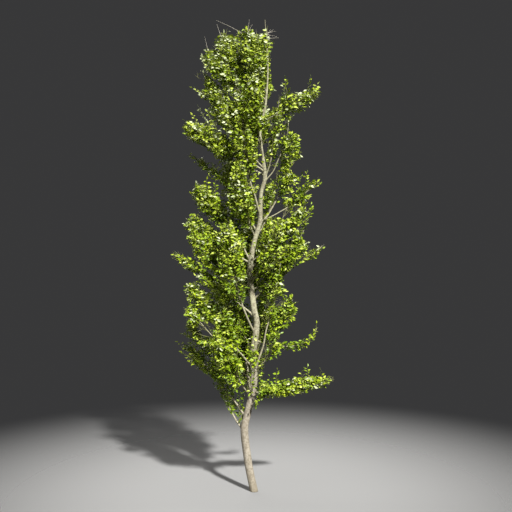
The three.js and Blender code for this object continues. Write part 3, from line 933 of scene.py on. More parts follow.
class Tint(Enum):
    """The leaves' base colours, from the deepest to the lightest, dealt out partly by how old the leaves are
    and partly as painted light and shade.
    """

    DEEP = (0.105, 0.168, 0.002)
    DARK = (0.160, 0.232, 0.004)
    MIDDLE = (0.240, 0.308, 0.010)
    FRESH = (0.315, 0.375, 0.045)
    # partly the pale tint of young leaves, and partly a painted highlight in its whitish blue
    LIGHT = (0.385, 0.425, 0.220)


# ---------------------------------------------------------------------------------------------
# Finishes
# ---------------------------------------------------------------------------------------------


class Nodes:
    """A node tree in the making."""

    prefix = ""

    def __init__(self, tree: bpy.types.NodeTree) -> None:
        """Keeps the tree that nodes are added to.

        Args:
            tree: The node tree.
        """
        self.tree = tree

    def add(self, kind: str, **inputs: object) -> bpy.types.Node:
        """Adds a node and sets or links its inputs.

        Args:
            kind: The node's type, without the prefix.
            inputs: Values or sockets by input name, with _ for a space. Names in small letters set
                the node's own properties.

        Returns:
            The node.
        """
        node = self.tree.nodes.new(self.prefix + kind)
        for key, value in inputs.items():
            if key.islower():
                setattr(node, key, value)
        for key, value in inputs.items():
            if not key.islower():
                self.feed(node.inputs[key.replace("_", " ")], value)
        return node

    def feed(self, socket: bpy.types.NodeSocket, value: object) -> None:
        """Links a socket to another, or sets its value.

        Args:
            socket: The input socket.
            value: An output socket or a plain value.
        """
        if isinstance(value, bpy.types.NodeSocket):
            self.tree.links.new(value, socket)
        else:
            socket.default_value = value

    def math(self, operation: str, first: object, second: object) -> bpy.types.NodeSocket:
        """Adds one sum on two values.

        Args:
            operation: The kind of sum.
            first: A value or a socket.
            second: A value or a socket.

        Returns:
            The outcome's socket.
        """
        node = self.tree.nodes.new("ShaderNodeMath")
        node.operation = operation
        self.feed(node.inputs[0], first)
        self.feed(node.inputs[1], second)
        return node.outputs[0]


class Shading(Nodes):
    """A shader node tree in the making: a material's or a group's."""

    prefix = "ShaderNode"

    @classmethod
    def of_material(cls, name: str) -> tuple[bpy.types.Material, Self]:
        """Starts a material with no nodes.

        Args:
            name: The material's name.

        Returns:
            The material and its shading.
        """
        made = bpy.data.materials.new(name)
        made.use_nodes = True
        made.node_tree.nodes.clear()
        return made, cls(made.node_tree)

    def mix(self, share: object, first: object, second: object) -> bpy.types.NodeSocket:
        """A mix of two colours.

        Args:
            share: How much of the second there is, a value or a socket.
            first: A colour or a socket.
            second: A colour or a socket.

        Returns:
            The mixed colour's socket.
        """
        node = self.add("Mix", data_type="RGBA")
        for number, value in ((0, share), (6, first), (7, second)):
            self.feed(node.inputs[number], value)
        return node.outputs[2]

    def ramp(self, value: bpy.types.NodeSocket, low: float, high: float,
             to_low: float = 0.0, to_high: float = 1.0) -> bpy.types.NodeSocket:
        """A value carried smoothly from one range to another.

        Args:
            value: The value's socket.
            low: Where the first range starts,
            high: and where it ends.
            to_low: The outcome at low,
            to_high: and at high.

        Returns:
            The outcome's socket.
        """
        node = self.add("MapRange", interpolation_type="SMOOTHSTEP", Value=value, From_Min=low,
                        From_Max=high, To_Min=to_low, To_Max=to_high)
        return node.outputs["Result"]

    def noise(self, place: bpy.types.NodeSocket, scale: float, detail: float = 3.0,
              rough: float = 0.55) -> bpy.types.NodeSocket:
        """A noise pattern's value."""
        return self.add("TexNoise", Vector=place, Scale=scale, Detail=detail, Roughness=rough).outputs["Fac"]

    def stretched(self, place: bpy.types.NodeSocket, lengthwise: float) -> bpy.types.NodeSocket:
        """Coordinates drawn out along Z."""
        return self.add("Mapping", Vector=place, Scale=(1, 1, lengthwise)).outputs["Vector"]

    def scaled(self, place: bpy.types.NodeSocket, scale: bpy.types.NodeSocket) -> bpy.types.NodeSocket:
        """Coordinates times a number.

        Args:
            place: The coordinates' socket.
            scale: The number's socket.

        Returns:
            The new coordinates' socket.
        """
        node = self.add("VectorMath", operation="SCALE", Scale=scale)
        self.feed(node.inputs[0], place)
        return node.outputs[0]


def shader_group(name: str, inputs: dict[str, object], outputs: Iterable[str]) -> tuple[Shading, dict, dict]:
    """Starts a shader node group with named inputs and outputs.

    Args:
        name: The group's name.
        inputs: Each input's name and default: a colour or a number.
        outputs: The outputs' names. Color is a colour, and the others are numbers.

    Returns:
        The group's shading, its input sockets and its output sockets, by name.
    """
    tree = bpy.data.node_groups.new(name, "ShaderNodeTree")
    for key, default in inputs.items():
        kind = "NodeSocketColor" if isinstance(default, tuple) else "NodeSocketFloat"
        socket = tree.interface.new_socket(key, in_out="INPUT", socket_type=kind)
        socket.default_value = (*default, 1) if isinstance(default, tuple) else default
    for key in outputs:
        kind = "NodeSocketColor" if key == "Color" else "NodeSocketFloat"
        tree.interface.new_socket(key, in_out="OUTPUT", socket_type=kind)
    inlet = tree.nodes.new("NodeGroupInput")
    outlet = tree.nodes.new("NodeGroupOutput")
    taken = {key: inlet.outputs[key] for key in inputs}
    given = {key: outlet.inputs[key] for key in outputs}
    return Shading(tree), taken, given


def bark_pattern() -> bpy.types.NodeTree:
    """The pattern of pale, smooth poplar bark: streaks, blotches, fine mottling, lenticels, and dark marks at
    the limbs' feet that are partly the bark's own and partly painted shadow.
    """
    inputs = {
        "Light": (0.5, 0.44, 0.34), "Dark": (0.25, 0.2, 0.14), "Scar Color": (0.09, 0.07, 0.05),
        "Young Color": (0.32, 0.33, 0.18), "Youth": 0.0, "Fineness": 1.0, "Scar": 0.0,
    }
    shading, taken, given = shader_group("bark_pattern", inputs, ("Color", "Roughness", "Height"))
    place = shading.add("TexCoord").outputs["Object"]
    height = shading.add("SeparateXYZ", Vector=place).outputs["Z"]
    youth = shading.math("MULTIPLY", taken["Youth"], shading.ramp(height, 1.4, 4.0))
    place = shading.scaled(place, taken["Fineness"])
    streaks = shading.noise(shading.stretched(place, 0.12), 42, 4)
    blotches = shading.noise(shading.stretched(place, 0.5), 6.5, 3)
    mottling = shading.noise(shading.stretched(place, 0.7), 130, 3, 0.7)
    speckles = shading.noise(shading.stretched(place, 1.3), 24, 2, 0.6)
    cells = shading.add("TexVoronoi", Vector=shading.stretched(place, 2.4), Scale=30.0)
    lenticels = shading.ramp(cells.outputs["Distance"], 0.13, 0.2, 1, 0)
    colour = shading.mix(youth, taken["Light"], taken["Young Color"])
    for value, *ranges in (  # what darkens it: from where to where, and how much at either end
        (height, 0.0, 0.7, 0.45, 0),
        (streaks, 0.35, 0.75, 0, 0.55),
        (blotches, 0.45, 0.75, 0, 0.4),
        (speckles, 0.45, 0.58, 0, 0.7),
        (mottling, 0.42, 0.68, 0, 0.38),
    ):
        colour = shading.mix(shading.ramp(value, *ranges), colour, taken["Dark"])
    colour = shading.mix(shading.math("MULTIPLY", lenticels, 0.5), colour, taken["Scar Color"])
    # dark marks round the limbs' feet: partly the bark's own, partly painted shadow
    ragged_scar_shadow = shading.math("MULTIPLY", taken["Scar"], shading.ramp(streaks, 0.2, 0.6, 0.45, 1))
    colour = shading.mix(ragged_scar_shadow, colour, taken["Scar Color"])
    shading.feed(given["Color"], colour)
    shading.feed(given["Roughness"], shading.ramp(mottling, 0.3, 0.7, 0.72, 0.9))
    swells, grains, pits = (
        shading.math("MULTIPLY", pattern, depth)
        for pattern, depth in ((streaks, 0.5), (mottling, 0.35), (lenticels, 0.25))
    )
    shading.feed(given["Height"], shading.math("SUBTRACT", shading.math("ADD", swells, grains), pits))
    return shading.tree


def leaf_pattern() -> bpy.types.NodeTree:
    """The pattern of a leaf's skin: slight changes of green, and of gloss, from place to place, with whitish
    pale patches that are partly painted sheen.
    """
    inputs = {"Green": (0.1, 0.15, 0.01), "Paler": (0.2, 0.25, 0.04), "Fineness": 1.0}
    shading, taken, given = shader_group("leaf_pattern", inputs, ("Color", "Roughness", "Height"))
    place = shading.scaled(shading.add("TexCoord").outputs["Object"], taken["Fineness"])
    patches = shading.noise(place, 14, 2)
    skin = shading.noise(place, 90, 2)
    # whitish pale patches: partly tone that changes at random, partly painted sheen
    paler = shading.ramp(patches, 0.4, 0.7, 0, 0.45)
    shading.feed(given["Color"], shading.mix(paler, taken["Green"], taken["Paler"]))
    shading.feed(given["Roughness"], shading.ramp(skin, 0.3, 0.7, 0.42, 0.58))
    shading.feed(given["Height"], skin)
    return shading.tree


@dataclass(frozen=True)
class Finish:
    """One material: a group's pattern on a Principled shader."""

    name: str
    values: dict[str, object]  # the group's inputs
    bump: float
    depth: float
    specular: float = 0.3
    scar_shadowed: bool = False  # whether it reads the attribute of dark marks and painted shadow at the limbs' feet

    def material(self, group: bpy.types.NodeTree) -> bpy.types.Material:
        """Makes the material.

        Args:
            group: The shader node group that gives its pattern.

        Returns:
            The material.
        """
        made, shading = Shading.of_material(self.name)
        pattern = shading.add("Group", node_tree=group)
        for key, value in self.values.items():
            pattern.inputs[key].default_value = (*value, 1) if isinstance(value, tuple) else value
        # the dark marks at the limbs' feet, partly painted shadow, are read from a point attribute
        if self.scar_shadowed:
            scar = shading.add("Attribute", attribute_name="scar")
            shading.feed(pattern.inputs["Scar"], scar.outputs["Fac"])
        bump = shading.add("Bump", Strength=self.bump, Distance=self.depth, Height=pattern.outputs["Height"])
        surface = shading.add(
            "BsdfPrincipled", Base_Color=pattern.outputs["Color"], Roughness=pattern.outputs["Roughness"],
            Normal=bump.outputs["Normal"], Specular_IOR_Level=self.specular,
        )
        shading.add("OutputMaterial", Surface=surface.outputs["BSDF"])
        return made


BARKS = (
    Finish(
        "trunk_bark",
        {"Light": (0.318, 0.284, 0.224), "Dark": (0.145, 0.12, 0.08), "Scar Color": (0.09, 0.07, 0.05),
         "Young Color": (0.37, 0.375, 0.22), "Youth": 0.75},
        bump=0.5, depth=0.004, scar_shadowed=True,
    ),
    Finish(
        "limb_bark",
        {"Light": (0.38, 0.345, 0.25), "Dark": (0.18, 0.155, 0.10), "Scar Color": (0.10, 0.08, 0.05),
         "Young Color": (0.35, 0.355, 0.20), "Youth": 0.6, "Fineness": 1.6},
        bump=0.4, depth=0.002,
    ),
    Finish(
        "twig_bark",
        {"Light": (0.46, 0.43, 0.36), "Dark": (0.26, 0.23, 0.17), "Scar Color": (0.12, 0.09, 0.06),
         "Fineness": 3.0},
        bump=0.3, depth=0.001,
    ),
    Finish(
        "shoot_bark",
        {"Light": (0.27, 0.28, 0.09), "Dark": (0.14, 0.14, 0.04), "Scar Color": (0.14, 0.11, 0.05),
         "Fineness": 3.0},
        bump=0.3, depth=0.001,
    ),
)


# ---------------------------------------------------------------------------------------------
# Pieces
# ---------------------------------------------------------------------------------------------


def shown(mesh: bpy.types.Mesh) -> bpy.types.Object:
    """Puts a mesh in the scene.

    Args:
        mesh: The mesh.

    Returns:
        Its object, which has the same name.
    """
    piece = bpy.data.objects.new(mesh.name, mesh)
    bpy.context.scene.collection.objects.link(piece)
    return piece


def attach(mesh: bpy.types.Mesh, name: str, kind: str, values: np.ndarray) -> None:
    """Gives a mesh's points a named attribute.

    Args:
        mesh: The mesh.
        name: The attribute's name.
        kind: FLOAT, INT or FLOAT_VECTOR.
        values: One value or vector a point.
    """
    attribute = mesh.attributes.new(name, kind, "POINT")
    number = np.int32 if kind == "INT" else np.float32
    attribute.data.foreach_set("vector" if kind == "FLOAT_VECTOR" else "value", values.astype(number).ravel())


class GrowthTree(Nodes):
    """A Geometry Nodes tree in the making, with its named inputs."""

    def __init__(self, name: str) -> None:
        """Starts the tree with its geometry in and out.

        Args:
            name: The tree's name.
        """
        super().__init__(bpy.data.node_groups.new(name, "GeometryNodeTree"))
        self.identifiers: dict[str, str] = {}
        self.inlet = self.tree.nodes.new("NodeGroupInput")
        self.outlet = self.tree.nodes.new("NodeGroupOutput")
        self.tree.interface.new_socket("Geometry", in_out="INPUT", socket_type="NodeSocketGeometry")
        self.tree.interface.new_socket("Geometry", in_out="OUTPUT", socket_type="NodeSocketGeometry")

    def input(self, name: str, kind: str) -> bpy.types.NodeSocket:
        """Adds a named input.

        Args:
            name: The input's name.
            kind: Its socket type, without its NodeSocket beginning.

        Returns:
            The socket that gives its value inside the tree.
        """
        socket = self.tree.interface.new_socket(name, in_out="INPUT", socket_type="NodeSocket" + kind)
        self.identifiers[name] = socket.identifier
        return self.inlet.outputs[name]

    def attribute(self, name: str, kind: str) -> bpy.types.NodeSocket:
        """The values of a named attribute."""
        return self.add("GeometryNodeInputNamedAttribute", data_type=kind, Name=name).outputs["Attribute"]

    def finish(self, geometry: bpy.types.NodeSocket, material: bpy.types.NodeSocket) -> None:
        """Ends the tree: instances realized, and the material set.

        Args:
            geometry: What the tree has made.
            material: The material's input.
        """
        real = self.add("GeometryNodeRealizeInstances", Geometry=geometry)
        done = self.add("GeometryNodeSetMaterial", Geometry=real.outputs[0], Material=material)
        self.tree.links.new(done.outputs[0], self.outlet.inputs["Geometry"])

    def grow(self, seedling: bpy.types.Mesh, values: dict[str, object]) -> bpy.types.Object:
        """Runs the tree on a mesh and keeps the outcome as a plain object.

        Args:
            seedling: The points or edges that the tree works on, with the new object's name.
            values: The inputs' values by name.

        Returns:
            The object, at the origin, with no modifier.
        """
        piece = shown(seedling)
        modifier = piece.modifiers.new("growth", "NODES")
        modifier.node_group = self.tree
        for key, value in values.items():
            modifier[self.identifiers[key]] = value
        graph = bpy.context.evaluated_depsgraph_get()
        grown = bpy.data.meshes.new_from_object(piece.evaluated_get(graph), depsgraph=graph)
        piece.modifiers.clear()
        piece.data = grown
        bpy.data.meshes.remove(seedling)
        grown.name = piece.name
        return piece


def wood_tree() -> GrowthTree:
    """The tree that turns edges with a width attribute into slender round wood."""
    growth = GrowthTree("slender_wood")
    sides = growth.input("Sides", "Int")
    material = growth.input("Material", "Material")
    curve = growth.add("GeometryNodeMeshToCurve", Mesh=growth.inlet.outputs["Geometry"])
    section = growth.add("GeometryNodeCurvePrimitiveCircle", Resolution=sides, Radius=1.0)
    tube = growth.add(
        "GeometryNodeCurveToMesh", Curve=curve.outputs[0], Profile_Curve=section.outputs["Curve"],
        Scale=growth.attribute("half_width", "FLOAT"), Fill_Caps=True,
    )
    smooth = growth.add("GeometryNodeSetShadeSmooth", Geometry=tube.outputs[0])
    growth.finish(smooth.outputs[0], material)
    return growth


def leafing_tree() -> GrowthTree:
    """The tree that sets a leaf on every point, one of a few shapes, turned and scaled."""
    growth = GrowthTree("leafing")
    blanks = [growth.input(f"Leaf {letter}", "Object") for letter in "ABC"]
    uneven = growth.input("Unevenness", "Float")
    seed = growth.input("Seed", "Int")
    material = growth.input("Material", "Material")
    shapes = growth.add("GeometryNodeJoinGeometry")
    for blank in blanks:
        info = growth.add("GeometryNodeObjectInfo", Object=blank, As_Instance=True)
        growth.feed(shapes.inputs[0], info.outputs["Geometry"])
    turn = growth.add("FunctionNodeAxesToRotation", primary_axis="Y", secondary_axis="Z")
    growth.feed(turn.inputs[0], growth.attribute("way", "FLOAT_VECTOR"))
    growth.feed(turn.inputs[1], growth.attribute("face", "FLOAT_VECTOR"))
    chance = growth.add("FunctionNodeRandomValue", data_type="FLOAT", Seed=seed)
    growth.feed(chance.inputs[2], 0.0)
    growth.feed(chance.inputs[3], 1.0)
    share = growth.math("SUBTRACT", 1.0, growth.math("MULTIPLY", chance.outputs[1], uneven))
    size = growth.math("MULTIPLY", growth.attribute("size", "FLOAT"), share)
    placed = growth.add(
        "GeometryNodeInstanceOnPoints", Points=growth.inlet.outputs["Geometry"], Instance=shapes.outputs[0],
        Pick_Instance=True, Instance_Index=growth.attribute("shape", "INT"), Rotation=turn.outputs[0],
        Scale=size,
    )
    growth.finish(placed.outputs[0], material)
    return growth


def wired(name: str, lines: np.ndarray, half_widths: np.ndarray) -> bpy.types.Mesh:
    """A mesh of edges with a half_width attribute.

    Args:
        name: The mesh's name.
        lines: The points of each line, as lines by points by 3.
        half_widths: Half the width at each point, as lines by points.

    Returns:
        The mesh.
    """
    count, steps, _ = lines.shape
    mesh = bpy.data.meshes.new(name)
    first = np.arange(count)[:, None] * steps + np.arange(steps - 1)[None]
    edges = np.stack([first, first + 1], axis=2).reshape(-1, 2)
    mesh.vertices.add(count * steps)
    mesh.vertices.foreach_set("co", lines.astype(np.float32).ravel())
    mesh.edges.add(len(edges))
    mesh.edges.foreach_set("vertices", edges.astype(np.int32).ravel())
    attach(mesh, "half_width", "FLOAT", half_widths)
    mesh.update()
    return mesh


@dataclass(frozen=True)
class LeafShape:
    """A leaf's outline, one unit long from the foot of its stalk to its tip."""

    stalk: float = 0.18
    stalk_halves: tuple[float, float] = (0.02, 0.004)  # half its width at its foot and at the blade
    outline: tuple[tuple[float, float], ...] = ((0.16, 0.31), (0.21, 0.48), (0.13, 0.76))
    rib: tuple[float, float] = (0.48, 0.76)
    fold: float = 0.24  # how far the halves rise from the rib, as a share of their width
    sag: float = 0.12  # how far the tip hangs below the foot
    twist: float = 0.0

    def blank(self, name: str) -> bpy.types.Object:
        """Makes the leaf as an object that isn't in the scene.

        Args:
            name: The object's name.

        Returns:
            The object.
        """
        low, middle, high = self.outline
        lower_rib, upper_rib = self.rib
        rib = [(0, self.stalk), (0, lower_rib), (0, upper_rib), (0, 1)]
        right = [low, middle, high]
        left = [(-x, y) for x, y in right]
        wide, thin = self.stalk_halves
        stalk = [(-wide, 0), (wide, 0), (thin, self.stalk), (-thin, self.stalk)]
        flat = [*rib, *right, *left, *stalk]
        points = []
        for x, y in flat:
            along = max(0.0, (y - self.stalk) / (1 - self.stalk))
            points.append((x, y, self.fold * abs(x) - self.sag * along**2 + self.twist * x * along))
        root, mid, upper, tip, r1, r2, r3, l1, l2, l3 = range(10)
        faces = [
            (root, r1, mid), (r1, r2, mid), (mid, r2, r3, upper), (upper, r3, tip),
            (root, mid, l1), (l1, mid, l2), (mid, upper, l3, l2), (upper, tip, l3), (10, 11, 12, 13),
        ]
        mesh = bpy.data.meshes.new(name)
        mesh.from_pydata(points, [], faces)
        mesh.update()
        return bpy.data.objects.new(name, mesh)


LEAF_SHAPES = (
    LeafShape(),
    LeafShape(outline=((0.14, 0.34), (0.19, 0.52), (0.11, 0.79)), fold=0.5, sag=0.2, twist=0.25),
    LeafShape(outline=((0.19, 0.3), (0.25, 0.46), (0.15, 0.73)), fold=0.2, sag=0.05, twist=-0.3),
)


def tube_mesh(name: str, rings: np.ndarray) -> bpy.types.Mesh:
    """A tube through rings of points, with flat caps, its faces pointing out.

    Args:
        name: The mesh's name.
        rings: The points, as rings by sides by 3.

    Returns:
        The mesh, shaded smooth along its sides.
    """
    steps, sides, _ = rings.shape
    at = np.arange(steps - 1)[:, None] * sides
    here = np.arange(sides)[None]
    following = (here + 1) % sides
    quads = np.stack([at + here, at + following, at + sides + following, at + sides + here], axis=2)
    faces = quads.reshape(-1, 4).tolist()
    smooth = [True] * len(faces) + [False, False]
    faces.append(list(range(sides))[::-1])
    faces.append([(steps - 1) * sides + i for i in range(sides)])
    mesh = bpy.data.meshes.new(name)
    mesh.from_pydata(rings.reshape(-1, 3).tolist(), [], faces)
    mesh.polygons.foreach_set("use_smooth", smooth)
    mesh.update()
    return mesh


@dataclass
class Wood:
    """The trunk and the boughs, with the relief of their bark."""

    crown: Crown
    trunk_sides: int = 48
    ring_gap: float = 0.014
    bough_sides: int = 14
    bough_ring_gap: float = 0.02
    stem_sides: int = 8
    stem_ring_gap: float = 0.035
    foot_search: float = 0.5  # the share of a limb's curve where its foot is looked for,
    foot_samples: int = 60  # at this many places,
    foot_depth: float = 0.95  # this share of the trunk's half width from its middle
    collar_height: float = 0.012  # how far the trunk swells round a limb's foot,
    collar_most: float = 0.3  # but no more than this share of the limb's width
    collar_reach: tuple[float, float] = (0.8, 1.5)  # how far out and up, as shares of the limb's width
    # the dark marks at the limbs' feet: partly the bark's own, partly painted shadow
    scar_shadow_reach: tuple[float, float] = (0.7, 0.5)
    scar_shadow_rise: float = 0.5  # how far the middle of the dark mark is above the foot, as a share of that width
    scar_shadow_depth: float = 0.8
    fewest_rings: int = 8  # of a limb
    flare: float = 0.45  # how much wider a limb is at the trunk,
    flare_length: float = 1.2  # fading over this share of its width
    knots: float = 0.09  # how uneven a limb is, as a share of its width
    knot_pitch: float = 9.0  # to the metre
    prong_line: tuple[tuple[float, float, float], ...] = (
        (-0.075, -0.02, 1.66), (-0.085, -0.05, 1.86), (-0.098, -0.055, 2.08), (-0.112, -0.04, 2.28),
        (-0.150, -0.015, 2.46),
    )
    prong_steps: int = 40
    prong_half: float = 0.031
    prong_taper: float = 0.35
    ridges: float = 0.0016
    swells: float = 0.0045
    grain: float = 0.0006
    ridge_pitch: tuple[float, float] = (5, 2.6)  # round the trunk and along it
    swell_pitch: tuple[float, float] = (0.9, 2.1)
    grain_pitch: tuple[float, float] = (210, 60)
    full_half: float = 0.05  # where half the trunk's width is less, its relief fades

    def trunk(self) -> bpy.types.Object:
        """Builds the trunk with level rings, so that its foot is flat."""
        line = self.crown.trunk
        steps = round(line.height / self.ring_gap) + 1
        turns = np.arange(self.trunk_sides) * 2 * math.pi / self.trunk_sides
        rings = np.zeros((steps, self.trunk_sides, 3))
        for i in range(steps):
            height = line.height * i / (steps - 1)
            middle = line.middle(height)
            half = line.width(height) / 2
            for j, turn in enumerate(turns):
                relief = self.relief(math.cos(turn), math.sin(turn), height, half)
                rings[i, j] = (
                    middle.x + (half + relief) * math.cos(turn),
                    middle.y + (half + relief) * math.sin(turn),
                    height,
                )
        swell, scars_and_shadow = self.collars(rings.reshape(-1, 3))
        outward = rings - rings.mean(1, keepdims=True)
        outward[:, :, 2] = 0
        rings += unit(outward) * swell.reshape(steps, self.trunk_sides, 1)
        rings[:, :, 2] = np.clip(rings[:, :, 2], 0, line.height)
        mesh = tube_mesh("trunk_bark", rings)
        attach(mesh, "scar", "FLOAT", scars_and_shadow)
        return shown(mesh)

    def relief(self, east: float, north: float, height: float, half: float) -> float:
        """How far the bark stands out at a place on the trunk.

        Args:
            east: The place's direction from the trunk's middle, to the right.
            north: And to the back.
            height: Its height.
            half: Half the trunk's width there.

        Returns:
            Metres, which may be below 0.
        """
        fade = min(1.0, half / self.full_half)
        waves = []
        for around, along in (self.swell_pitch, self.ridge_pitch):
            waves.append(noise.noise(Vector((east * around, north * around, height * along))))
        around, along = self.grain_pitch
        fine = noise.noise(Vector((east * half * around, north * half * around, height * along)))
        return fade * (self.swells * waves[0] + self.ridges * waves[1]) + self.grain * fade * fine

    def collars(self, points: np.ndarray) -> tuple[np.ndarray, np.ndarray]:
        """Swellings, and dark marks that are partly the bark's own and partly painted shadow, where the limbs
        leave the trunk.

        Args:
            points: Points on the trunk.

        Returns:
            How far each point swells, and how dark its mark and painted shadow are, from 0 to 1.
        """
        swell = np.zeros(len(points))
        scars_and_shadow = np.zeros(len(points))
        for line in self.crown.lines:
            half = self.crown.trunk.width(line.limb.leave) / 2
            path = line.points(np.linspace(0, self.foot_search, self.foot_samples))
            out = np.linalg.norm((path - self.crown.middles_at(path[:, 2]))[:, :2], axis=1)
            foot = path[np.argmax(out > half * self.foot_depth)]
            width = line.foot_width
            offset = points - foot
            level = np.hypot(offset[:, 0], offset[:, 1])
            rise = offset[:, 2].copy()
            out, up = self.collar_reach
            spot = np.exp(-((level / (width * out)) ** 2) - (rise / (width * up)) ** 2)
            swell = np.maximum(swell, spot * min(self.collar_height, width * self.collar_most))
            out, up = self.scar_shadow_reach
            rise -= width * self.scar_shadow_rise
            above = np.exp(-((level / (width * out)) ** 2) - (rise / (width * up)) ** 2)
            scars_and_shadow = np.maximum(scars_and_shadow, self.scar_shadow_depth * above)
        return swell, scars_and_shadow

    def limb_rings(self, line: LimbLine, sides: int, gap: float) -> np.ndarray:
        """The rings of one limb from inside the trunk to its tip, swollen at its foot.

        Args:
            line: The limb's curve.
            sides: How many points a ring has.
            gap: The way between rings.

        Returns:
            The points, as rings by sides by 3.
        """
        steps = max(self.fewest_rings, round(line.length / gap))
        u = np.linspace(0, 1, steps)
        middles = line.points(u)
        side, over = ring_bases(unit(np.gradient(middles, axis=0)))
        trunk_half = self.crown.trunk.width(line.limb.leave) / 2
        past = np.maximum(0, u * line.length - trunk_half)
        flare = 1 + self.flare * np.exp(-past / (line.foot_width * self.flare_length))
        halves = line.widths(u) / 2 * flare
        turns = np.arange(sides) * 2 * math.pi / sides
        rings = np.zeros((steps, sides, 3))
        for i in range(steps):
            place = u[i] * line.length * self.knot_pitch
            for j, turn in enumerate(turns):
                way = side[i] * math.cos(turn) + over[i] * math.sin(turn)
                knot = noise.noise(Vector((math.cos(turn) + line.seed, math.sin(turn), place)))
                rings[i, j] = middles[i] + way * halves[i] * (1 + self.knots * knot)
        return rings

    def boughs(self) -> dict[str, bpy.types.Object]:
        """Builds each bough, with the stem that goes on from it, as one tapering limb."""
        built = {}
        for line in self.crown.lines:
            if line.limb.bough:
                rings = self.limb_rings(line, self.bough_sides, self.bough_ring_gap)
                built[line.limb.name] = shown(tube_mesh(f"bough_{line.limb.name}_bark", rings))
        return built

    def prong(self) -> bpy.types.Mesh:
        """Builds the fork's slighter prong, which leans on the trunk and ends in a bough's foot."""
        t = np.linspace(0, 1, self.prong_steps)
        at = np.array(self.prong_line)
        place = t * (len(at) - 1)
        middles = np.stack([np.interp(place, np.arange(len(at)), at[:, k]) for k in range(3)], axis=1)
        for _ in range(self.prong_steps // 3):
            middles[1:-1] = (middles[:-2] + 2 * middles[1:-1] + middles[2:]) / 4
        side, over = ring_bases(unit(np.gradient(middles, axis=0)))
        halves = self.prong_half * (1 - self.prong_taper * t)
        turns = np.arange(self.bough_sides) * 2 * math.pi / self.bough_sides
        rings = middles[:, None] + halves[:, None, None] * (
            side[:, None] * np.cos(turns)[None, :, None] + over[:, None] * np.sin(turns)[None, :, None]
        )
        return tube_mesh("prong", rings)

    def stems(self) -> bpy.types.Object:
        """Builds the stems of all the other limbs and the fork's slighter prong, joined."""
        meshes = [self.prong()]
        for line in self.crown.lines:
            if not line.limb.bough:
                rings = self.limb_rings(line, self.stem_sides, self.stem_ring_gap)
                meshes.append(tube_mesh("stem", rings))
        return joined("stems_bark", meshes)


def joined(name: str, meshes: Sequence[bpy.types.Mesh]) -> bpy.types.Object:
    """Joins meshes into one object in the scene.

    Args:
        name: The object's name.
        meshes: The meshes, which are removed.

    Returns:
        The object.
    """
    points: list = []
    faces: list = []
    smooth: list = []
    for mesh in meshes:
        base = len(points)
        points.extend(vertex.co[:] for vertex in mesh.vertices)
        for polygon in mesh.polygons:
            faces.append([base + i for i in polygon.vertices])
            smooth.append(polygon.use_smooth)
        bpy.data.meshes.remove(mesh)
    mesh = bpy.data.meshes.new(name)
    mesh.from_pydata(points, [], faces)
    mesh.polygons.foreach_set("use_smooth", smooth)
    mesh.update()
    return shown(mesh)


@dataclass(frozen=True)
class Sprig:
    """A lone leafy twig that stands out of the crown, from a place on a limb."""

    limb: str
    share: float
    tip: tuple[float, float, float]
    lift: float = 0.05  # how far its tip is raised above the straight way


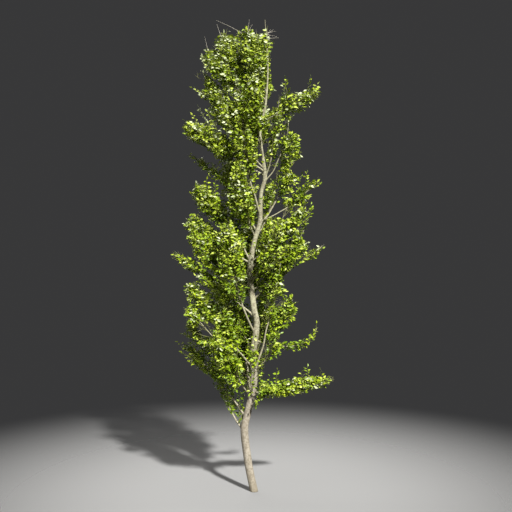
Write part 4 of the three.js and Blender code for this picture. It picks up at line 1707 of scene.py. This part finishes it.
SPRIGS = (
    Sprig("right_spray", 0.80, (1.072, -0.08, 7.88)),
    Sprig("right_spray", 0.50, (0.594, -0.10, 7.84)),
    Sprig("right_spray", 0.48, (0.560, -0.04, 7.74)),
    Sprig("centre_riser", 0.36, (0.080, -0.12, 6.02)),
    Sprig("centre_riser", 0.34, (0.000, 0.02, 6.10)),
    Sprig("centre_riser", 0.28, (0.070, 0.10, 5.85)),
    Sprig("centre_riser", 0.24, (0.000, 0.06, 5.80)),
    Sprig("centre_riser", 0.20, (0.070, -0.06, 5.70)),
    Sprig("right_spray", 0.85, (1.215, 0.06, 7.78)),
    Sprig("top_middle_left", 0.85, (-0.360, 0.00, 8.70)),
    Sprig("top_middle_left", 0.90, (-0.300, 0.10, 8.74)),
    Sprig("left_upper", 0.72, (-1.164, -0.05, 7.69)),
    Sprig("left_wing", 0.80, (-1.290, -0.16, 7.04)),
    Sprig("left_wing", 0.65, (-1.160, -0.10, 7.15)),
    Sprig("left_wing", 0.42, (-0.880, -0.20, 7.20)),
    Sprig("left_wing_low", 0.85, (-1.298, 0.20, 6.86)),
    Sprig("left_wing", 0.55, (-1.030, -0.25, 7.27)),
    Sprig("right_arm", 0.72, (1.005, -0.12, 6.06)),
    Sprig("right_arm", 0.60, (0.900, -0.10, 6.03)),
    Sprig("right_arm", 0.45, (0.680, -0.16, 5.72)),
    Sprig("left_feather", 0.78, (-0.900, -0.08, 5.93)),
    Sprig("left_feather", 0.66, (-0.730, -0.12, 5.90)),
    Sprig("low_back_left", 0.78, (-1.300, 0.48, 2.93)),
    Sprig("right_shoulder", 0.85, (1.080, -0.10, 5.46)),
    Sprig("right_shoulder", 0.80, (1.110, 0.02, 5.40)),
    Sprig("low_back_left", 0.80, (-1.500, 0.62, 2.77)),
    Sprig("low_back_left", 0.72, (-1.430, 0.50, 2.60)),
    Sprig("low_back_left", 0.62, (-1.310, 0.50, 2.45)),
    Sprig("low_far_left", 0.72, (-1.440, 0.60, 2.95)),
    Sprig("low_left", 0.10, (-0.270, 0.05, 1.90)),
    Sprig("low_left", 0.12, (-0.200, 0.10, 1.82)),
    Sprig("low_left", 0.08, (-0.170, 0.02, 1.92)),
    Sprig("low_right", 0.10, (-0.030, -0.20, 1.60), -0.02),
    Sprig("low_right", 0.10, (-0.020, -0.30, 1.72), -0.02),
    Sprig("low_right", 0.12, (0.050, -0.34, 1.80)),
    Sprig("low_right", 0.14, (0.110, -0.32, 1.92)),
    Sprig("low_right", 0.16, (0.180, -0.38, 1.98)),
    Sprig("low_right", 0.18, (0.250, -0.42, 2.02)),
    Sprig("low_right", 0.20, (0.300, -0.40, 2.10)),
    Sprig("low_right", 0.17, (0.200, -0.44, 2.12)),
    Sprig("low_right", 0.22, (0.340, -0.46, 2.06)),
    Sprig("low_right", 0.12, (0.040, -0.18, 1.68), -0.02),
    Sprig("low_right", 0.16, (0.190, -0.20, 2.16)),
    Sprig("low_right", 0.20, (0.300, -0.14, 2.20)),
    Sprig("low_right", 0.27, (0.440, -0.10, 2.31)),
    Sprig("low_right", 0.62, (0.900, -0.16, 2.29)),
    Sprig("low_right", 0.70, (1.015, -0.10, 2.38)),
    Sprig("low_right", 0.88, (1.263, -0.20, 2.34)),
    Sprig("low_right", 0.88, (1.310, -0.10, 2.03)),
    Sprig("right_lower", 0.85, (0.800, -0.05, 3.60)),
    Sprig("right_drooping", 0.93, (1.190, -0.10, 3.20)),
)


@dataclass(frozen=True)
class Whip:
    """A bare, arching twig that stands out of the crown, from a place on a limb."""

    limb: str
    share: float
    tip: tuple[float, float, float]
    arch: float = 0.0  # how far its middle rises above the straight way
    half: float = 0.0045


WHIPS = (
    Whip("top_front", 0.93, (-0.720, -0.20, 8.93), 0.02, 0.0055),
    Whip("top_middle_left", 0.90, (-0.715, 0.17, 8.97), 0.0, 0.005),
    Whip("top_front", 0.90, (-0.084, -0.18, 8.95)),
    Whip("top_back", 0.95, (-0.010, 0.34, 8.885)),
    Whip("top_back", 0.93, (0.040, 0.20, 8.90)),
    Whip("top_front", 0.92, (-0.030, -0.15, 8.87)),
    Whip("top_leader", 0.90, (0.317, 0.02, 8.83)),
    Whip("top_leader", 0.93, (0.375, 0.05, 8.83)),
    Whip("top_leader", 0.95, (0.425, -0.04, 8.775)),
    Whip("top_leader", 0.92, (0.445, 0.08, 8.705)),
    Whip("top_leader", 0.85, (0.480, -0.02, 8.655)),
    Whip("top_left", 0.97, (-0.934, -0.10, 8.655), 0.02),
    Whip("left_thin", 0.96, (-1.235, 0.22, 6.375)),
    Whip("right_tip", 0.97, (1.345, 0.0, 4.715)),
)


@dataclass(frozen=True)
class Slender:
    """How one kind of slender wood is built."""

    name: str
    points: int  # along each one
    half: float  # half its width at its foot
    sides: int


TWIGS = Slender("twigs", 6, 0.0034, 4)
SHOOTS = Slender("shoots", 3, 0.0019, 3)
SPRIG_WOOD = Slender("sprigs", 6, 0.0034, 5)


@dataclass
class Foliage:
    """The twigs, the shoots, the whips and the leaves of all the masses."""

    crown: Crown
    tip_half: float = 0.0009  # half the width of a twig's or a shoot's tip,
    whip_tip_half: float = 0.0012  # and of a whip's
    taper: float = 0.8
    scales: tuple[float, float] = (0.6, 1.5)  # how much thinner or thicker one may be than most
    whip_points: int = 9
    whip_sides: int = 5
    unevenness: float = 0.12
    seed: int = 5
    paler: Colour = (1.28, 1.25, 1.45)  # a leaf's whitish pale patches, partly random tone and partly painted sheen, as shares of its own tint

    def __post_init__(self) -> None:
        """Makes the two trees that wood and leaves grow by, and the leaves' pattern."""
        self.slender = wood_tree()
        self.leafing = leafing_tree()
        self.skin = leaf_pattern()

    def wands(self, kind: Slender, wands: Wands, material: bpy.types.Material) -> bpy.types.Object:
        """Builds wands as slender wood.

        Args:
            kind: What they are.
            wands: The wands.
            material: Their bark.

        Returns:
            The piece.
        """
        t = np.linspace(0, 1, kind.points)
        count = len(wands.lengths)
        lines = np.stack([wands.points(np.full(count, value)) for value in t], axis=1)
        scale = np.clip(wands.lengths / np.median(wands.lengths), *self.scales)
        halves = self.tip_half + (kind.half * scale[:, None] - self.tip_half) * (1 - t[None]) ** self.taper
        return self.slender.grow(wired(kind.name, lines, halves), {"Sides": kind.sides, "Material": material})

    def whips(self, material: bpy.types.Material) -> bpy.types.Object:
        """Builds the bare whips that stand out of the crown.

        Args:
            material: Their bark.

        Returns:
            The piece.
        """
        t = np.linspace(0, 1, self.whip_points)
        lines, halves = [], []
        for whip in WHIPS:
            foot = self.crown.line(whip.limb).points([whip.share])[0]
            line = foot + (np.array(whip.tip) - foot) * t[:, None]
            line[:, 2] += whip.arch * np.sin(math.pi * t)
            lines.append(line)
            halves.append(self.whip_tip_half + (whip.half - self.whip_tip_half) * (1 - t))
        mesh = wired("whips", np.array(lines), np.array(halves))
        return self.slender.grow(mesh, {"Sides": self.whip_sides, "Material": material})

    def leaves(self, tint: Tint, leaves: Leaves, blanks: Sequence[bpy.types.Object]) -> bpy.types.Object:
        """Builds the leaves of one tint.

        Args:
            tint: The tint.
            leaves: All the leaves.
            blanks: The leaf shapes.

        Returns:
            The piece.
        """
        number = list(Tint).index(tint)
        name = tint.name.lower()
        mine = leaves.take(leaves.tints == number)
        count = len(mine.sizes)
        mesh = bpy.data.meshes.new(f"leaves_{name}")
        mesh.vertices.add(count)
        mesh.vertices.foreach_set("co", mine.roots.astype(np.float32).ravel())
        attach(mesh, "way", "FLOAT_VECTOR", mine.ways)
        attach(mesh, "face", "FLOAT_VECTOR", mine.faces)
        attach(mesh, "size", "FLOAT", mine.sizes)
        attach(mesh, "shape", "INT", np.arange(count) % len(blanks))
        paler = tuple(value * share for value, share in zip(tint.value, self.paler))
        finish = Finish(
            f"leaf_{name}", {"Green": tint.value, "Paler": paler}, bump=0.15, depth=0.0015, specular=0.35,
        )
        material = finish.material(self.skin)
        values = {"Unevenness": self.unevenness, "Seed": self.seed + number, "Material": material}
        values |= {f"Leaf {letter}": blank for letter, blank in zip("ABC", blanks)}
        return self.leafing.grow(mesh, values)

    def build(self, barks: dict[str, bpy.types.Material]) -> Iterator[tuple[bpy.types.Object, str]]:
        """Grows the crown and builds all its pieces.

        Args:
            barks: The finishes of bark, by name.

        Yields:
            Each piece with its material slot.
        """
        crown, habit = self.crown, self.crown.habit
        twigs = crown.twigs()
        shoots = crown.shoots(twigs)
        sprigs = crown.sprigs()
        seed = habit.first_seed + len(LIMBS)  # the shoots' own, past the limbs'
        leaves = Leaves.joined([
            crown.leaves(shoots, seed + 1, habit.leaf_gap, habit.leaf_edge),
            crown.leaves(sprigs, seed + 2, habit.sprig_leaf_gap),
            # the shade leaves inside the crown, with darker tints: partly their own deeper green, partly
            # painted shade
            crown.leaves(twigs, seed + 3, habit.shade_leaf_gap, habit.shade_edge, habit.shade_youth),
        ])
        LOG.info("%d twigs, %d shoots, %d leaves", len(twigs.lengths), len(shoots.lengths), len(leaves.sizes))
        for kind, wands in ((TWIGS, twigs), (SHOOTS, shoots), (SPRIG_WOOD, sprigs)):
            yield self.wands(kind, wands, barks["shoot_bark"]), "bark"
        yield self.whips(barks["twig_bark"]), "bark"
        blanks = [shape.blank(f"leaf_{letter}") for shape, letter in zip(LEAF_SHAPES, "abc")]
        for tint in Tint:
            yield self.leaves(tint, leaves, blanks), "foliage"
        for blank in blanks:
            mesh = blank.data
            bpy.data.objects.remove(blank)
            bpy.data.meshes.remove(mesh)


# ---------------------------------------------------------------------------------------------
# The studio
# ---------------------------------------------------------------------------------------------


@dataclass
class Studio:
    """The floor, the lights and the camera."""

    eye: tuple[float, float, float] = (0.040, -13.588, 4.490)
    lens: float = 50.0
    sensor: float = 36.0
    floor_radius: float = 16.0
    floor_sides: int = 96
    floor_tone: Colour = (0.20, 0.198, 0.192)
    floor_clear: tuple[float, float] = (1.5, 9.0)  # between these it fades into the backdrop
    backdrop: Colour = (0.040, 0.040, 0.041)
    # each light's name, the way it comes from, its strength and how wide it is seen
    lights: tuple[tuple[str, tuple[float, float, float], float, float], ...] = (
        ("key_light", (0.46, -0.85, 0.88), 10.5, 3.5),
        ("sky_light", (0.05, -0.45, 1.0), 0.45, 100.0),
        ("fill_light", (-0.9, -0.4, 0.5), 0.45, 50.0),
        ("back_light", (-0.5, 0.9, 0.7), 1.9, 60.0),
    )

    def build(self) -> None:
        """Sets up the whole studio."""
        self.camera()
        self.floor()
        for name, source, strength, angle in self.lights:
            self.sun(name, source, strength, angle)
        world = bpy.data.worlds.new("backdrop")
        world.use_nodes = True
        world.node_tree.nodes["Background"].inputs["Color"].default_value = (*self.backdrop, 1)
        bpy.context.scene.world = world
        bpy.context.scene.view_settings.view_transform = "Standard"

    def camera(self) -> None:
        """Places the level camera."""
        camera = bpy.data.objects.new("camera", bpy.data.cameras.new("camera"))
        camera.data.lens = self.lens
        camera.data.sensor_width = self.sensor
        camera.location = self.eye
        camera.rotation_euler = (math.pi / 2, 0, 0)
        bpy.context.scene.collection.objects.link(camera)
        bpy.context.scene.camera = camera

    def sun(self, name: str, source: tuple[float, float, float], strength: float, angle: float) -> None:
        """Adds a distant light.

        Args:
            name: The light's name.
            source: The direction that it comes from.
            strength: Its strength.
            angle: How wide it is seen, in degrees, which softens its shadows.
        """
        light = bpy.data.lights.new(name, "SUN")
        light.energy = strength
        light.angle = math.radians(angle)
        lamp = bpy.data.objects.new(name, light)
        lamp.rotation_euler = Vector(source).to_track_quat("Z", "Y").to_euler()
        bpy.context.scene.collection.objects.link(lamp)

    def floor(self) -> None:
        """Adds the pale floor, a disc that fades out far from the tree."""
        mesh = bpy.data.meshes.new("floor")
        turns = [2 * math.pi * i / self.floor_sides for i in range(self.floor_sides)]
        points = [(self.floor_radius * math.cos(t), self.floor_radius * math.sin(t), 0) for t in turns]
        mesh.from_pydata(points, [], [list(range(self.floor_sides))])
        shown(mesh)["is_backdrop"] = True
        material, shading = Shading.of_material("floor")
        distance = shading.add("VectorMath", operation="LENGTH")
        shading.feed(distance.inputs[0], shading.add("TexCoord").outputs["Object"])
        surface = shading.add("BsdfDiffuse", Color=(*self.floor_tone, 1))
        mixed = shading.add("MixShader", Fac=shading.ramp(distance.outputs["Value"], *self.floor_clear))
        shading.feed(mixed.inputs[1], surface.outputs[0])
        shading.feed(mixed.inputs[2], shading.add("BsdfTransparent").outputs[0])
        shading.add("OutputMaterial", Surface=mixed.outputs[0])
        mesh.materials.append(material)


# ---------------------------------------------------------------------------------------------
# The whole tree
# ---------------------------------------------------------------------------------------------


@dataclass
class Poplar:
    """The whole tree's looks, piece by piece."""

    trunk: TrunkLine = field(default_factory=TrunkLine)
    habit: Habit = field(default_factory=Habit)

    def build(self) -> None:
        """Builds and dresses every piece."""
        crown = Crown(self.trunk, self.habit)
        pattern = bark_pattern()
        barks = {finish.name: finish.material(pattern) for finish in BARKS}
        masses = [f"foliage_{limb.name}" for limb in LIMBS]
        wood = Wood(crown)
        self.settle(wood.trunk(), "bark", barks["trunk_bark"], ["trunk"])
        for name, piece in wood.boughs().items():
            self.settle(piece, "bark", barks["limb_bark"], [f"bough_{name}", f"foliage_{name}"])
        plain = [f"foliage_{limb.name}" for limb in LIMBS if not limb.bough]
        self.settle(wood.stems(), "bark", barks["limb_bark"], plain)
        for piece, slot in Foliage(crown).build(barks):
            self.settle(piece, slot, None, masses)

    @staticmethod
    def settle(piece: bpy.types.Object, slot: str, material: bpy.types.Material | None,
               nodes: Sequence[str]) -> None:
        """Dresses a piece, hangs it on what it rides on, and hides the parts that it stands for.

        Args:
            piece: The piece.
            slot: The record's material slot for its finish. Not used.
            material: Its finish, or None where it has one.
            nodes: The nodes that it replaces.
        """
        if material is not None:
            piece.data.materials.append(material)
        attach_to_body(piece, BODY)
        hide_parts(*nodes)
        faces = sum(len(polygon.vertices) - 2 for polygon in piece.data.polygons)
        LOG.info("%s: %d triangles", piece.name, faces)


def main() -> None:
    """Builds the tree and the studio."""
    logging.basicConfig(level=logging.INFO, format="%(message)s")
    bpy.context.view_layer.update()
    Poplar().build()
    Studio().build()


if __name__ == "__main__":
    main()
